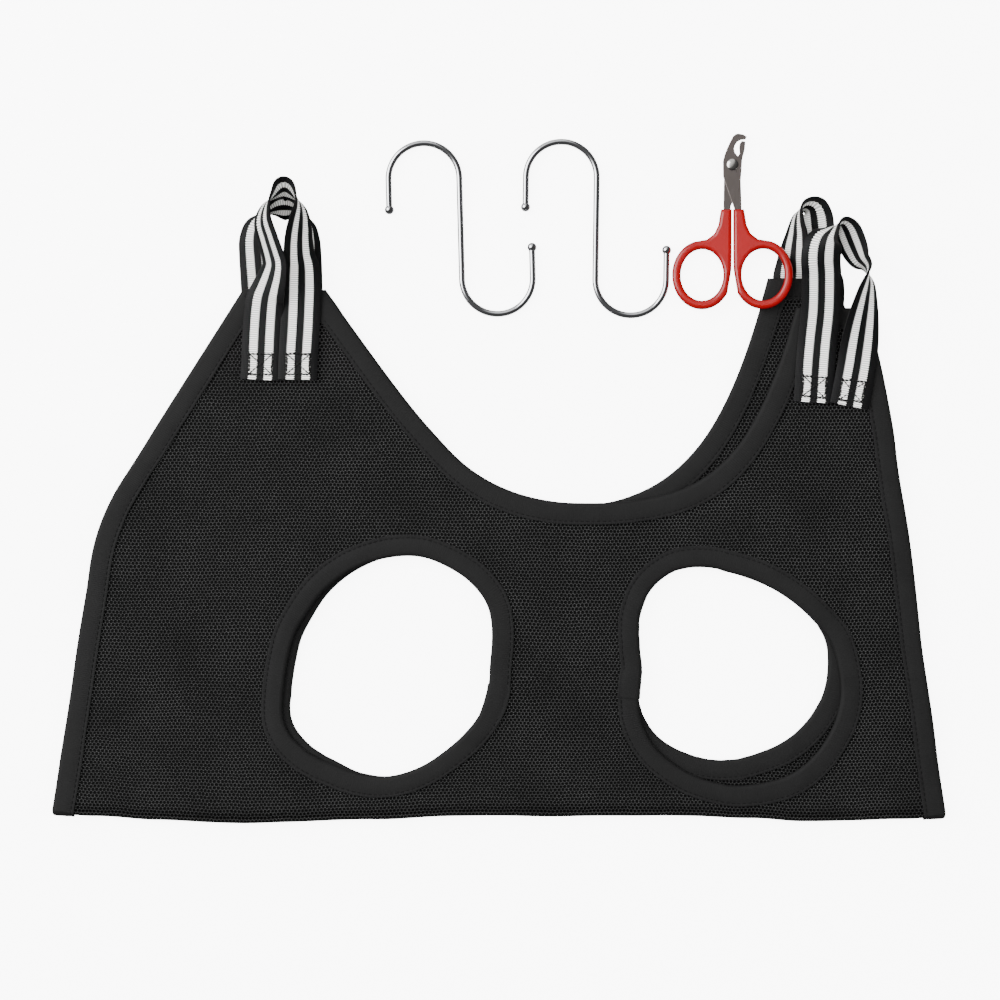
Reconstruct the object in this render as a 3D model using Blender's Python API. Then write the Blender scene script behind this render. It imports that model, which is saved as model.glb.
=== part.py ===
"""A pet grooming hammock, folded flat at the belly, with its two S-hooks and its nail scissors.

The kit lies on a table: X runs along the belly fold, Y from the fold to the ears, Z up. The origin is
on the table, under the middle of the kit. Sizes are in millimetres and angles in degrees.
"""
import math

import bpy
from mathutils import Matrix, Vector
from mathutils.geometry import tessellate_polygon

MM = 0.001
SHARP_FROM = 38.0

# Cloth, tape and webbing
CLEARANCE = 0.3
MESH_THICKNESS = 1.6
TAPE_THICKNESS = 0.5
TAPE_WIDTH = 11.0
WEBBING_WIDTH = 20.0
WEBBING_THICKNESS = 1.3
STRAP_SPACING = 20.8
TAIL_LENGTH = 13.8

# Box stitch, sunk into the webbing's outer face
STITCH_WIDTH = 12.0
STITCH_LENGTH = 10.6
STITCH_TOP = 0.7
THREAD_WIDTH = 0.8
THREAD_DEPTH = 0.4
WELL_DEPTH = 0.7

# Hammock outline: heights are measured from the belly fold's outer edge
BELLY_LENGTH = 455.0
SHOULDER_ROUND = 26.0
LEFT_SHOULDER = (21.8, 154.7)
LEFT_EAR_INSET = 96.9
LEFT_EAR_HEIGHT = 272.9
LEFT_EAR_WIDTH = 42.0
RIGHT_SHOULDER = (27.7, 212.5)
RIGHT_EAR_INSET = 39.5
RIGHT_EAR_HEIGHT = 263.7
RIGHT_EAR_WIDTH = 36.5
NECK_LOW_X = 38.8
NECK_LOW_HEIGHT = 164.8
NECK_LEFT_PULL = (90.0, 54.0)
NECK_RIGHT_PULL = (85.0, 70.0)

# The back layer lies a little up and to the left of the front one at its right half
BACK_EDGE_INSET = 1.0
BACK_RIGHT_SHOULDER = (33.0, 214.0)
BACK_RIGHT_EAR_INSET = 56.0
BACK_RIGHT_EAR_HEIGHT = 279.0
BACK_RIGHT_EAR_WIDTH = 34.0
BACK_NECK_RIGHT_PULL = (60.0, 70.0)

# Leg holes inside their tape: middle from the nearer end, middle height, half sizes and lean
FRONT_LEFT_HOLE = (171.4, 81.4, 53.5, 56.9, -7.5)
FRONT_RIGHT_HOLE = (104.3, 74.7, 51.8, 56.9, 7.0)
BACK_LEFT_HOLE = (174.6, 81.9, 52.5, 57.4, -7.5)
BACK_RIGHT_HOLE = (110.6, 88.2, 51.5, 55.6, 7.0)

# Webbing loops: each point is (across, along, height above the tail, turn of the width), and the
# width turns from flat, 0, over on edge, 90, to leaning outwards past it
LEFT_CUT_FROM_TIP = 32.1
RIGHT_CUT_FROM_TIP = 35.7
FRONT_RIGHT_STRAP_SHIFT = 4.8
FRONT_RIGHT_STRAP_TURN = -6.0
BACK_RIGHT_STRAP_SHIFT = 2.5
BACK_RIGHT_STRAP_TURN = -4.0
FRONT_LEFT_LOOP = [
    (-10.4, 8.0, 0.0, 0), (-10.0, 19.0, 0.5, 2), (-8.2, 30.0, 3.2, 15), (-4.8, 41.0, 7.4, 42),
    (-4.6, 52.5, 10.2, 52), (-8.4, 65.8, 11.4, 63), (-7.4, 76.0, 11.6, 88), (1.2, 83.2, 11.8, 120),
    (9.8, 76.0, 11.6, 88), (10.4, 65.8, 11.2, 60), (10.4, 52.5, 9.2, 40), (10.4, 41.0, 5.6, 22),
    (10.4, 30.0, 2.2, 9), (10.4, 19.0, 0.4, 1), (10.4, 8.0, 0.0, 0)]
FRONT_RIGHT_LOOP = [
    (-10.6, 7.0, 0.0, 0), (-11.2, 18.0, 0.4, 0), (-11.2, 33.5, 2.8, 0), (-11.8, 49.0, 6.8, 1),
    (-12.8, 60.0, 10.6, 2), (-13.4, 68.6, 12.8, 12), (-11.6, 74.4, 13.4, 62), (-5.4, 76.2, 13.2, 108),
    (2.2, 70.4, 12.6, 118), (7.8, 62.4, 11.8, 100), (10.7, 54.0, 10.0, 66), (11.1, 41.2, 6.2, 32),
    (10.9, 28.3, 2.8, 11), (10.5, 15.4, 0.5, 1), (10.4, 7.0, 0.0, 0)]
BACK_LEFT_LOOP = [
    (-10.4, 8.0, 0.0, 0), (-10.4, 22.0, 0.0, 0), (-11.2, 33.0, 0.0, 0), (-12.0, 39.0, 1.2, 5),
    (-12.4, 47.0, 3.8, 18), (-11.8, 56.0, 6.2, 33), (-9.2, 64.4, 9.0, 60), (-5.0, 69.6, 10.0, 96),
    (0.2, 71.2, 9.8, 116), (5.4, 69.6, 10.0, 96), (9.6, 64.4, 9.0, 60), (12.2, 56.0, 6.2, 33),
    (12.6, 47.0, 3.8, 18), (12.2, 39.0, 1.2, 5), (11.4, 33.0, 0.0, 0), (10.4, 22.0, 0.0, 0),
    (10.4, 8.0, 0.0, 0)]
BACK_RIGHT_LOOP = [
    (-10.4, 7.0, 0.0, 0), (-10.5, 20.0, 0.0, 0), (-10.1, 35.5, 0.0, 0), (-9.2, 41.6, 0.5, 1),
    (-7.4, 48.4, 1.8, 8), (-5.6, 55.8, 3.2, 16), (-4.0, 63.4, 5.4, 29), (-2.0, 70.8, 10.2, 74),
    (3.4, 75.2, 10.6, 98), (9.2, 74.2, 10.4, 78), (12.4, 68.6, 5.2, 32), (12.6, 60.0, 2.8, 14),
    (12.0, 50.0, 0.9, 4), (11.2, 41.0, 0.2, 0), (10.6, 30.0, 0.0, 0), (10.4, 11.0, 0.0, 0)]

# S-hooks: bent wire with a ball at each end
HOOK_WIRE = 3.0
HOOK_BALL = 4.6
HOOK_BEND = 18.1
HOOK_SHANK = 52.0
HOOK_LEG = 15.5
HOOKS_BELOW_RIVET = 32.5
HOOK_2_BESIDE_SCISSORS = 69.7
HOOK_SPACING = 69.2
HOOK_1_LEAN = 1.5
HOOK_2_LEAN = -0.8

# Nail scissors, in their own frame: the rivet is at the middle and the blades point along +Y
BLADE_THICKNESS = 1.0
BLADE_GAP = 0.3
RIVET_RADIUS = 3.0
RIVET_CROWN = 2.4
RIVET_SHAFT = 1.5
RIVET_RIM = 0.2
RIVET_HEAD = 0.8
SHAFT_CLEARANCE = 0.1
BLADE_REACH = 16.0
TANG_INNER = 1.0
TANG_OUTER = 4.6
TANG_END = 31.0
LOWER_BLADE = [
    (-TANG_INNER, -TANG_END), (-TANG_INNER, -21.4), (0.0, -18.9), (4.2, -8.0), (4.7, -1.0), (5.0, 3.3),
    (5.8, 6.2), (6.3, 8.5), (6.6, 12.0), (4.8, 12.4), (3.7, 11.0), (3.4, 9.0), (3.6, 6.0), (2.8, 4.4),
    (0.4, 3.6), (-2.6, 2.8), (-4.5, -0.5), (-4.4, -8.0), (-TANG_OUTER, -20.4), (-TANG_OUTER, -TANG_END)]
UPPER_BLADE = [
    (TANG_INNER, -TANG_END), (TANG_OUTER, -TANG_END), (TANG_OUTER, -20.4), (4.2, -8.0), (4.7, -2.0),
    (4.7, 2.4), (4.2, 3.6), (2.4, 4.6), (1.2, 6.2), (0.8, 8.2), (1.2, 10.0), (2.4, 11.8), (4.2, 12.8),
    (6.6, 13.0), (7.3, 14.3), (5.5, 15.5), (2.9, BLADE_REACH), (1.6, 15.7), (0.3, 14.6), (-1.4, 11.4),
    (-2.7, 8.5), (-4.1, 4.9), (-4.9, 1.6), (-4.8, -5.9), (TANG_INNER, -22.9)]
HANDLE_TOP = 23.0
HANDLE_THICKNESS = 5.0
HANDLE_ROUND = 1.6
HANDLE_INSIDE = [(0.4, -HANDLE_TOP), (0.4, -46.0), (0.6, -54.0), (1.8, -61.0)]
HANDLE_OUTSIDE = [(13.0, -38.4), (9.2, -35.4), (7.2, -31.0), (6.4, -26.0), (5.8, -HANDLE_TOP)]
RING_CENTRE = (15.5, 56.5)
RING_HOLE = (10.9, 13.3)
RING_BAND = 4.3
RING_START = 212.0
RING_END = 440.0
SCISSORS_BESIDE_EAR = 52.2
SCISSORS_BEYOND_EAR = 58.0
SCISSORS_PITCH = 3.4
SCISSORS_ROLL = 4.8
SCISSORS_RIVET_LEVEL = 2.5

# Levels of the stack of layers, from the table up
BINDING_THICKNESS = MESH_THICKNESS + 2 * (TAPE_THICKNESS + CLEARANCE)
BACK_LEVEL = WEBBING_THICKNESS + CLEARANCE
FRONT_LEVEL = BACK_LEVEL + BINDING_THICKNESS + CLEARANCE
FRONT_TAIL_LEVEL = FRONT_LEVEL + BINDING_THICKNESS + CLEARANCE
FOLD_LEVEL = FRONT_LEVEL - CLEARANCE / 2
MESH_INSET = TAPE_THICKNESS + CLEARANCE
FOLD_RADIUS = CLEARANCE / 2 + MESH_INSET + MESH_THICKNESS
FOLD_SIDES = 16
FOLD_CAP_RADIUS = FOLD_RADIUS / math.cos(math.pi / FOLD_SIDES) + MESH_INSET

# Places in plan: the scissors lie beyond the back layer's right ear, and the hooks lie beside them
RIVET_HEIGHT = BACK_RIGHT_EAR_HEIGHT + SCISSORS_BEYOND_EAR
KIT_DEPTH = RIVET_HEIGHT + BLADE_REACH
LEFT_END = -BELLY_LENGTH / 2
RIGHT_END = BELLY_LENGTH / 2
FOLD_EDGE = -KIT_DEPTH / 2
FOLD_Y = FOLD_EDGE + FOLD_CAP_RADIUS
SCISSORS_X = RIGHT_END - BACK_RIGHT_EAR_INSET - SCISSORS_BESIDE_EAR
HOOK_2_X = SCISSORS_X - HOOK_2_BESIDE_SCISSORS
HOOK_1_X = HOOK_2_X - HOOK_SPACING


def height(value):
    """The Y of a point this far from the fold's outer edge."""
    return FOLD_EDGE + value


# Curves in plan

def bezier(start, pull_start, pull_end, end, steps):
    """Points of a cubic curve, its first point included and its last left out."""
    points = []
    for step in range(steps):
        t = step / steps
        weights = ((1 - t) ** 3, 3 * t * (1 - t) ** 2, 3 * t * t * (1 - t), t ** 3)
        corners = (start, pull_start, pull_end, end)
        points.append(sum((w * c for w, c in zip(weights, corners)), Vector((0, 0))))
    return points


def spline(points, steps):
    """A smooth curve through points of any dimension, with this many steps from one to the next."""
    last = len(points) - 1
    result = []
    for i in range(last):
        before = points[max(i - 1, 0)]
        after = points[min(i + 2, last)]
        for step in range(steps):
            t = step / steps
            result.append(0.5 * (2 * points[i] + t * (points[i + 1] - before)
                                 + t * t * (2 * before - 5 * points[i] + 4 * points[i + 1] - after)
                                 + t ** 3 * (3 * points[i] - before - 3 * points[i + 1] + after)))
    result.append(points[last].copy())
    return result


def seam(fold_corner, shoulder, ear_corner, steps=8):
    """An end edge: straight up from the fold, round at the shoulder, straight to the ear."""
    lower = (shoulder - fold_corner).normalized()
    upper = (ear_corner - shoulder).normalized()
    start = shoulder - lower * SHOULDER_ROUND
    end = shoulder + upper * SHOULDER_ROUND
    third = SHOULDER_ROUND * 0.6
    return [fold_corner] + bezier(start, start + lower * third, end - upper * third, end, steps) + [end]


def side_normals(path, closed):
    """Mitred normals that point to the left of a path in plan."""
    normals = []
    count = len(path)
    for i in range(count):
        before = path[i - 1] if closed or i else None
        after = path[(i + 1) % count] if closed or i < count - 1 else None
        edges = []
        if before is not None:
            edges.append((path[i] - before).normalized())
        if after is not None:
            edges.append((after - path[i]).normalized())
        sides = [Vector((-edge.y, edge.x)) for edge in edges]
        total = sum(sides, Vector((0, 0)))
        normals.append(total / total.dot(sides[0]))
    return normals


def level_cut(direction):
    """The normal of a path's end that is cut along X and not square to the path."""
    side = Vector((-direction.y, direction.x))
    return Vector((1 / side.x, 0))


# Solids

def new_object(name, vertices, faces, material, matrix=None):
    """An object from vertices in millimetres, with its faces pointing out."""
    mesh = bpy.data.meshes.new(name)
    mesh.from_pydata([Vector(v) * MM for v in vertices], [], faces)
    mesh.validate()
    mesh.update()
    mesh.shade_smooth()
    mesh.set_sharp_from_angle(angle=math.radians(SHARP_FROM))
    obj = bpy.data.objects.new(name, mesh)
    bpy.context.collection.objects.link(obj)
    obj.data.materials.append(material)
    if signed_volume(mesh) < 0:
        mesh.flip_normals()
    if matrix is not None:
        obj.matrix_world = matrix
    return obj


def signed_volume(mesh):
    """Six times the volume inside the mesh, below zero where its faces point in."""
    mesh.calc_loop_triangles()
    total = 0.0
    for triangle in mesh.loop_triangles:
        a, b, c = (mesh.vertices[i].co for i in triangle.vertices)
        total += a.dot(b.cross(c))
    return total


def plate(name, outline, holes, bottom, top, material, matrix=None):
    """A flat plate with holes, from outlines in plan."""
    loops = [outline] + holes
    flat = [Vector((p.x, p.y, 0)) for loop in loops for p in loop]
    caps = tessellate_polygon([[Vector((p.x, p.y, 0)) for p in loop] for loop in loops])
    count = len(flat)
    vertices = [(p.x, p.y, z) for z in (bottom, top) for p in flat]
    upward = []
    for a, b, c in caps:
        turn = (flat[b] - flat[a]).cross(flat[c] - flat[a]).z
        upward.append((a, b, c) if turn > 0 else (a, c, b))
    faces = [(c, b, a) for a, b, c in upward]
    faces += [tuple(i + count for i in face) for face in upward]
    start = 0
    for index, loop in enumerate(loops):
        size = len(loop)
        area = sum(loop[i - 1].x * loop[i].y - loop[i].x * loop[i - 1].y for i in range(size))
        outward = (area > 0) == (index == 0)
        for i in range(size):
            a = start + i
            b = start + (i + 1) % size
            wall = (a, b, b + count, a + count)
            faces.append(wall if outward else wall[::-1])
        start += size
    return new_object(name, vertices, faces, material, matrix)


def swept(name, rings, closed, material, matrix=None):
    """A solid through rings of points, with flat ends unless it closes on itself."""
    size = len(rings[0])
    count = len(rings)
    vertices = [point for ring in rings for point in ring]
    faces = []
    for i in range(count if closed else count - 1):
        here = i * size
        there = (i + 1) % count * size
        for k in range(size):
            n = (k + 1) % size
            faces.append((here + k, here + n, there + n, there + k))
    if not closed:
        faces.append(tuple(reversed(range(size))))
        faces.append(tuple((count - 1) * size + k for k in range(size)))
    return new_object(name, vertices, faces, material, matrix)


def binding(name, path, closed, level, material, cuts=(None, None)):
    """Tape folded over a cloth edge: a channel that opens to the path's right, its cloth side."""
    wall = TAPE_THICKNESS
    top = BINDING_THICKNESS
    profile = [(0, 0), (TAPE_WIDTH, 0), (TAPE_WIDTH, wall), (wall, wall),
               (wall, top - wall), (TAPE_WIDTH, top - wall), (TAPE_WIDTH, top), (0, top)]
    normals = [-n for n in side_normals(path, closed)]
    if cuts[0] is not None:
        normals[0] = cuts[0]
    if cuts[1] is not None:
        normals[-1] = cuts[1]
    rings = [[(p.x + u * n.x, p.y + u * n.y, level + z) for u, z in profile] for p, n in zip(path, normals)]
    return swept(name, rings, closed, material)


def turned(name, profile, sides, material, matrix=None):
    """A solid of revolution about Z, from (radius, z) points that start and end on the axis."""
    inner = profile[1:-1]
    vertices = [(0, 0, profile[0][1])]
    for radius, z in inner:
        for k in range(sides):
            angle = 2 * math.pi * k / sides
            vertices.append((radius * math.cos(angle), radius * math.sin(angle), z))
    vertices.append((0, 0, profile[-1][1]))
    faces = []
    for k in range(sides):
        n = (k + 1) % sides
        faces.append((0, 1 + n, 1 + k))
        for row in range(len(inner) - 1):
            low = 1 + row * sides
            high = low + sides
            faces.append((low + k, low + n, high + n, high + k))
        top = 1 + (len(inner) - 1) * sides
        faces.append((len(vertices) - 1, top + k, top + n))
    return new_object(name, vertices, faces, material, matrix)


# Materials

def material(name, colour, roughness, metallic=0.0):
    """A plain finish."""
    result = bpy.data.materials.new(name)
    result.use_nodes = True
    shader = result.node_tree.nodes["Principled BSDF"]
    shader.inputs["Base Color"].default_value = (*colour, 1.0)
    shader.inputs["Roughness"].default_value = roughness
    shader.inputs["Metallic"].default_value = metallic
    return result


# Hammock

class Side:
    """The outline of one layer: its end edges, ear tips, neck and leg holes."""

    def __init__(self, inset, right_shoulder, right_ear_inset, right_ear_height, right_ear_width,
                 neck_right_pull, left_hole, right_hole, strap_shift, strap_turn):
        self.inset = inset
        self.strap_shift = strap_shift
        self.strap_turn = strap_turn
        left_tip = height(LEFT_EAR_HEIGHT) - inset
        right_tip = height(right_ear_height)
        self.left_outer = Vector((LEFT_END + LEFT_EAR_INSET + inset, left_tip))
        self.left_inner = Vector((self.left_outer.x + LEFT_EAR_WIDTH - 2 * inset, left_tip))
        self.right_outer = Vector((RIGHT_END - right_ear_inset, right_tip))
        self.right_inner = Vector((self.right_outer.x - right_ear_width, right_tip))
        left_shoulder = Vector((LEFT_END + LEFT_SHOULDER[0] + inset, height(LEFT_SHOULDER[1])))
        right_bend = Vector((RIGHT_END - right_shoulder[0], height(right_shoulder[1])))
        self.left_seam = seam(Vector((LEFT_END + inset, FOLD_Y)), left_shoulder, self.left_outer)
        self.right_seam = seam(Vector((RIGHT_END - inset, FOLD_Y)), right_bend, self.right_outer)
        low = Vector((NECK_LOW_X, height(NECK_LOW_HEIGHT) - inset))
        level = Vector((1, 0))
        down = Vector((0.59, -0.81))
        up = Vector((0.26, 0.966))
        self.neck = bezier(self.left_inner, self.left_inner + down * NECK_LEFT_PULL[0],
                           low - level * NECK_LEFT_PULL[1], low, 14)
        self.neck += bezier(low, low + level * neck_right_pull[0],
                            self.right_inner - up * neck_right_pull[1], self.right_inner, 14)
        self.neck.append(self.right_inner)
        self.left_hole = leg_hole(LEFT_END + left_hole[0], *left_hole[1:])
        self.right_hole = leg_hole(RIGHT_END - right_hole[0], *right_hole[1:])


def leg_hole(x, middle, half_width, half_height, lean, steps=44):
    """A closed oval, anticlockwise, whose upper half leans sideways."""
    points = []
    for step in range(steps):
        angle = 2 * math.pi * step / steps
        across = half_width * math.cos(angle) - lean * math.sin(angle)
        points.append(Vector((x + across, height(middle) + half_height * math.sin(angle))))
    return points


def lifted(path, distance):
    """A path that starts at the fold, begun this far above the fold's axis instead."""
    direction = (path[1] - path[0]).normalized()
    start = path[0] + direction * (distance / direction.y)
    return [start] + path[1:], direction


def mesh_panel(name, side, level, cloth):
    """The layer's cloth, inside all of its tapes."""
    reach = FOLD_CAP_RADIUS + CLEARANCE
    left, left_direction = lifted(side.left_seam, reach)
    right, right_direction = lifted(side.right_seam, reach)
    edge = left + [side.left_outer] + side.neck + [side.right_outer] + right[::-1]
    normals = [-n for n in side_normals(edge, False)]
    normals[0] = -level_cut(left_direction)
    normals[-1] = level_cut(right_direction)
    outline = [p + n * MESH_INSET for p, n in zip(edge, normals)]
    holes = []
    for loop in (side.left_hole, side.right_hole):
        normals = side_normals(loop, True)
        holes.append([p - n * MESH_INSET for p, n in zip(loop, normals)])
    bottom = level + MESH_INSET
    return plate(name, outline, holes, bottom, bottom + MESH_THICKNESS, cloth)


def past_tip(path, start_y, end_y):
    """The stretch of a neck path below both levels, with its ends cut at them."""
    def cross(a, b, y):
        return a.lerp(b, (y - a.y) / (b.y - a.y))

    first = next(i for i, p in enumerate(path) if p.y < start_y)
    last = max(i for i, p in enumerate(path) if p.y < end_y)
    return ([cross(path[first - 1], path[first], start_y)] + path[first:last + 1]
            + [cross(path[last], path[last + 1], end_y)])


def bindings(prefix, side, level, tape):
    """The layer's five tapes: neck, two ends with their ear tips, and two leg holes."""
    made = []
    reach = FOLD_CAP_RADIUS + CLEARANCE
    left, left_direction = lifted(side.left_seam, reach)
    right, right_direction = lifted(side.right_seam, reach)
    left_path = left + [side.left_outer, side.left_inner]
    right_path = [side.right_inner, side.right_outer] + right[::-1]
    made.append(binding(prefix + "_left_end_binding", left_path, False, level, tape,
                        (-level_cut(left_direction), None)))
    made.append(binding(prefix + "_right_end_binding", right_path, False, level, tape,
                        (None, level_cut(right_direction))))
    room = TAPE_WIDTH + CLEARANCE
    neck = past_tip(side.neck, side.left_inner.y - room, side.right_inner.y - room)
    made.append(binding(prefix + "_neck_binding", neck, False, level, tape))
    made.append(binding(prefix + "_left_leg_binding", side.left_hole, True, level, tape))
    made.append(binding(prefix + "_right_leg_binding", side.right_hole, True, level, tape))
    return made


def belly_fold(cloth, tape):
    """The round turn of the cloth at the fold, and the tape round its two ends."""
    radius = FOLD_RADIUS / math.cos(math.pi / FOLD_SIDES)
    start = LEFT_END + MESH_INSET
    end = RIGHT_END - MESH_INSET
    angles = [2 * math.pi * (k + 0.5) / FOLD_SIDES for k in range(FOLD_SIDES)]

    def ring(x, r):
        return [(x, FOLD_Y + r * math.cos(a), FOLD_LEVEL + r * math.sin(a)) for a in angles]

    swept("belly_fold", [ring(start, radius), ring(end, radius)], False, cloth)
    outer = FOLD_CAP_RADIUS
    inner = radius + CLEARANCE
    for name, end_x, inward in (("left_fold_binding", start - MESH_INSET, 1),
                                ("right_fold_binding", end + MESH_INSET, -1)):
        mouth = end_x + inward * TAPE_WIDTH
        floor = end_x + inward * TAPE_THICKNESS
        rings = [ring(floor, inner), ring(mouth, inner), ring(mouth, outer), ring(end_x, outer)]
        swept(name, rings, False, tape)


# Straps

def ear_frame(side, at_left):
    """The strap frame at an ear: its origin is between the two tails, at their upper stitch row."""
    if at_left:
        middle = (side.left_outer + side.left_inner) / 2
        return Matrix.Translation((middle.x, middle.y + side.inset - LEFT_CUT_FROM_TIP, 0))
    middle = (side.right_outer + side.right_inner) / 2
    place = Matrix.Translation((middle.x + side.strap_shift, middle.y, 0))
    turn = Matrix.Rotation(math.radians(side.strap_turn), 4, "Z")
    return place @ turn @ Matrix.Translation((0, -RIGHT_CUT_FROM_TIP, 0))


def in_metres(frame):
    """The same frame with its place in metres, for an object whose mesh is in metres."""
    result = frame.copy()
    result.translation = frame.translation * MM
    return result


def tail(name, frame, side_sign, level, well_up, webbing):
    """A sewn end of webbing, with a well for its box stitch in its outer face."""
    x = side_sign * STRAP_SPACING / 2
    w = WEBBING_WIDTH / 2
    top = -CLEARANCE / 2
    bottom = -TAIL_LENGTH
    outer = [(x - w, bottom), (x + w, bottom), (x + w, top), (x - w, top)]
    a = STITCH_WIDTH / 2 + CLEARANCE
    low = -STITCH_TOP - STITCH_LENGTH - CLEARANCE
    high = -STITCH_TOP + CLEARANCE
    well = [(x - a, low), (x + a, low), (x + a, high), (x - a, high)]
    face = level + WEBBING_THICKNESS if well_up else level
    back = level if well_up else level + WEBBING_THICKNESS
    floor = face - WELL_DEPTH if well_up else face + WELL_DEPTH
    vertices = [(*p, back) for p in outer] + [(*p, face) for p in outer]
    vertices += [(*p, face) for p in well] + [(*p, floor) for p in well]
    faces = [(0, 1, 2, 3), (15, 14, 13, 12)]
    for k in range(4):
        n = (k + 1) % 4
        faces.append((k, k + 4, n + 4, n))
        faces.append((k + 4, k + 8, n + 8, n + 4))
        faces.append((k + 8, k + 12, n + 12, n + 8))
    return new_object(name, vertices, faces, webbing, in_metres(frame))


def box_stitch(name, frame, side_sign, level, well_up, thread):
    """A square of thread with a cross in it, level with the webbing's outer face."""
    x = side_sign * STRAP_SPACING / 2
    a = STITCH_WIDTH / 2
    b = STITCH_LENGTH / 2
    middle = -STITCH_TOP - b
    outline = [Vector((x + sx * a, middle + sy * b)) for sx, sy in ((-1, -1), (1, -1), (1, 1), (-1, 1))]
    t = THREAD_WIDTH
    diagonal = math.hypot(a, b)
    gap_x = t * diagonal / (2 * b)
    gap_y = t * diagonal / (2 * a)
    holes = []
    for sign in (-1, 1):
        far = a - t
        half = (far - gap_x) * b / a
        holes.append([Vector((x + sign * gap_x, middle)), Vector((x + sign * far, middle - half)),
                      Vector((x + sign * far, middle + half))])
        far = b - t
        half = (far - gap_y) * a / b
        holes.append([Vector((x, middle + sign * gap_y)), Vector((x - half, middle + sign * far)),
                      Vector((x + half, middle + sign * far))])
    bottom = level + WEBBING_THICKNESS - THREAD_DEPTH if well_up else level
    return plate(name, outline, holes, bottom, bottom + THREAD_DEPTH, thread, in_metres(frame))


def loop_ribbon(name, frame, level, hinge, points, webbing, steps=3):
    """The free part of a strap: a ribbon along a smooth route, with its width turned on the way.

    Its own frame lies at the height of the edge that it bends about.
    """
    first = Vector((points[0][0], CLEARANCE / 2, 0, 0))
    last = Vector((points[-1][0], CLEARANCE / 2, 0, 0))
    route = spline([first] + [Vector(p) for p in points] + [last], steps)
    up = Vector((0, 0, 1))
    rings = []
    for i, point in enumerate(route):
        before = route[max(i - 1, 0)].xyz
        after = route[min(i + 1, len(route) - 1)].xyz
        forward = (after - before).normalized()
        if i == 0:
            forward = Vector((0, 1, 0))
        if i == len(route) - 1:
            forward = Vector((0, -1, 0))
        right = forward.cross(up).normalized()
        turn = math.radians(max(point.w, 0))
        width = right * math.cos(turn) + up * math.sin(turn)
        thick = width.cross(forward).normalized() * (WEBBING_THICKNESS / 2)
        half = width * (WEBBING_WIDTH / 2)
        centre = Vector((point.x, point.y, level + max(point.z, 0) + WEBBING_THICKNESS / 2 - hinge))
        centre.z = max(centre.z, abs(half.z) + abs(thick.z) - hinge)
        rings.append([centre - half - thick, centre + half - thick, centre + half + thick, centre - half + thick])
    return swept(name, rings, False, webbing, in_metres(Matrix.Translation((0, 0, hinge)) @ frame))


def strap(name, frame, level, well_up, points, webbing, thread):
    """Two sewn tails with their box stitches, and the free loop between them."""
    for word, sign in (("a", -1), ("b", 1)):
        tail(f"{name}_tail_{word}", frame, sign, level, well_up, webbing)
        box_stitch(f"{name}_stitch_{word}", frame, sign, level, well_up, thread)
    hinge = level + WEBBING_THICKNESS if well_up else level
    loop_ribbon(f"{name}_loop", frame, level, hinge, points, webbing)


# S-hooks

def hook_route():
    """The hook's centreline in its own plane, from the upper ball round to the lower one."""
    bend = HOOK_BEND
    half = HOOK_SHANK / 2
    route = [Vector((-2 * bend, half - HOOK_LEG, 0))]
    steps = 14
    for step in range(steps + 1):
        angle = math.pi - math.pi * step / steps
        route.append(Vector((-bend + bend * math.cos(angle), half + bend * math.sin(angle), 0)))
    for step in range(steps + 1):
        angle = math.pi + math.pi * step / steps
        route.append(Vector((bend + bend * math.cos(angle), -half + bend * math.sin(angle), 0)))
    route.append(Vector((2 * bend, -half + HOOK_LEG, 0)))
    return route


def hook(name, x, lean, steel):
    """A bent wire and its two ball tips, lying on the table."""
    wire = HOOK_WIRE / 2
    ball = HOOK_BALL / 2
    place = (Matrix.Translation(Vector((x, height(RIVET_HEIGHT - HOOKS_BELOW_RIVET), ball)) * MM)
             @ Matrix.Rotation(math.radians(lean), 4, "Z"))
    route = hook_route()
    flat = math.sqrt(ball ** 2 - wire ** 2)
    gap = flat + CLEARANCE
    ends = [(route[0].copy(), Vector((0, 1, 0))), (route[-1].copy(), Vector((0, -1, 0)))]
    route[0] += Vector((0, gap, 0))
    route[-1] -= Vector((0, gap, 0))
    sides = 12
    rings = []
    for i, point in enumerate(route):
        forward = (route[min(i + 1, len(route) - 1)] - route[max(i - 1, 0)]).normalized()
        across = Vector((-forward.y, forward.x, 0))
        ring = []
        for k in range(sides):
            angle = 2 * math.pi * k / sides
            ring.append(point + across * (wire * math.cos(angle)) + Vector((0, 0, wire * math.sin(angle))))
        rings.append(ring)
    swept(name + "_wire", rings, False, steel, place)
    start = math.asin(wire / ball)
    profile = [(0, flat)]
    steps = 8
    for step in range(steps):
        angle = start + (math.pi - start) * step / steps
        profile.append((ball * math.sin(angle), ball * math.cos(angle)))
    profile.append((0, -ball))
    for word, (end, toward) in zip(("upper", "lower"), ends):
        turn = Vector((0, 0, 1)).rotation_difference(toward).to_matrix().to_4x4()
        turned(f"{name}_{word}_ball", profile, 16, steel, place @ Matrix.Translation(end * MM) @ turn)


# Nail scissors

def arc(centre, radii, start, end, steps):
    """Points of an oval arc in plan, from one angle to another, its last point left out."""
    points = []
    for step in range(steps):
        angle = math.radians(start + (end - start) * step / steps)
        points.append(Vector((centre[0] + radii[0] * math.cos(angle), centre[1] + radii[1] * math.sin(angle))))
    return points


def mirrored(points, sign):
    """The same outline on the right, or on the left where sign is -1."""
    return [Vector((sign * p[0], p[1])) for p in points]


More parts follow.
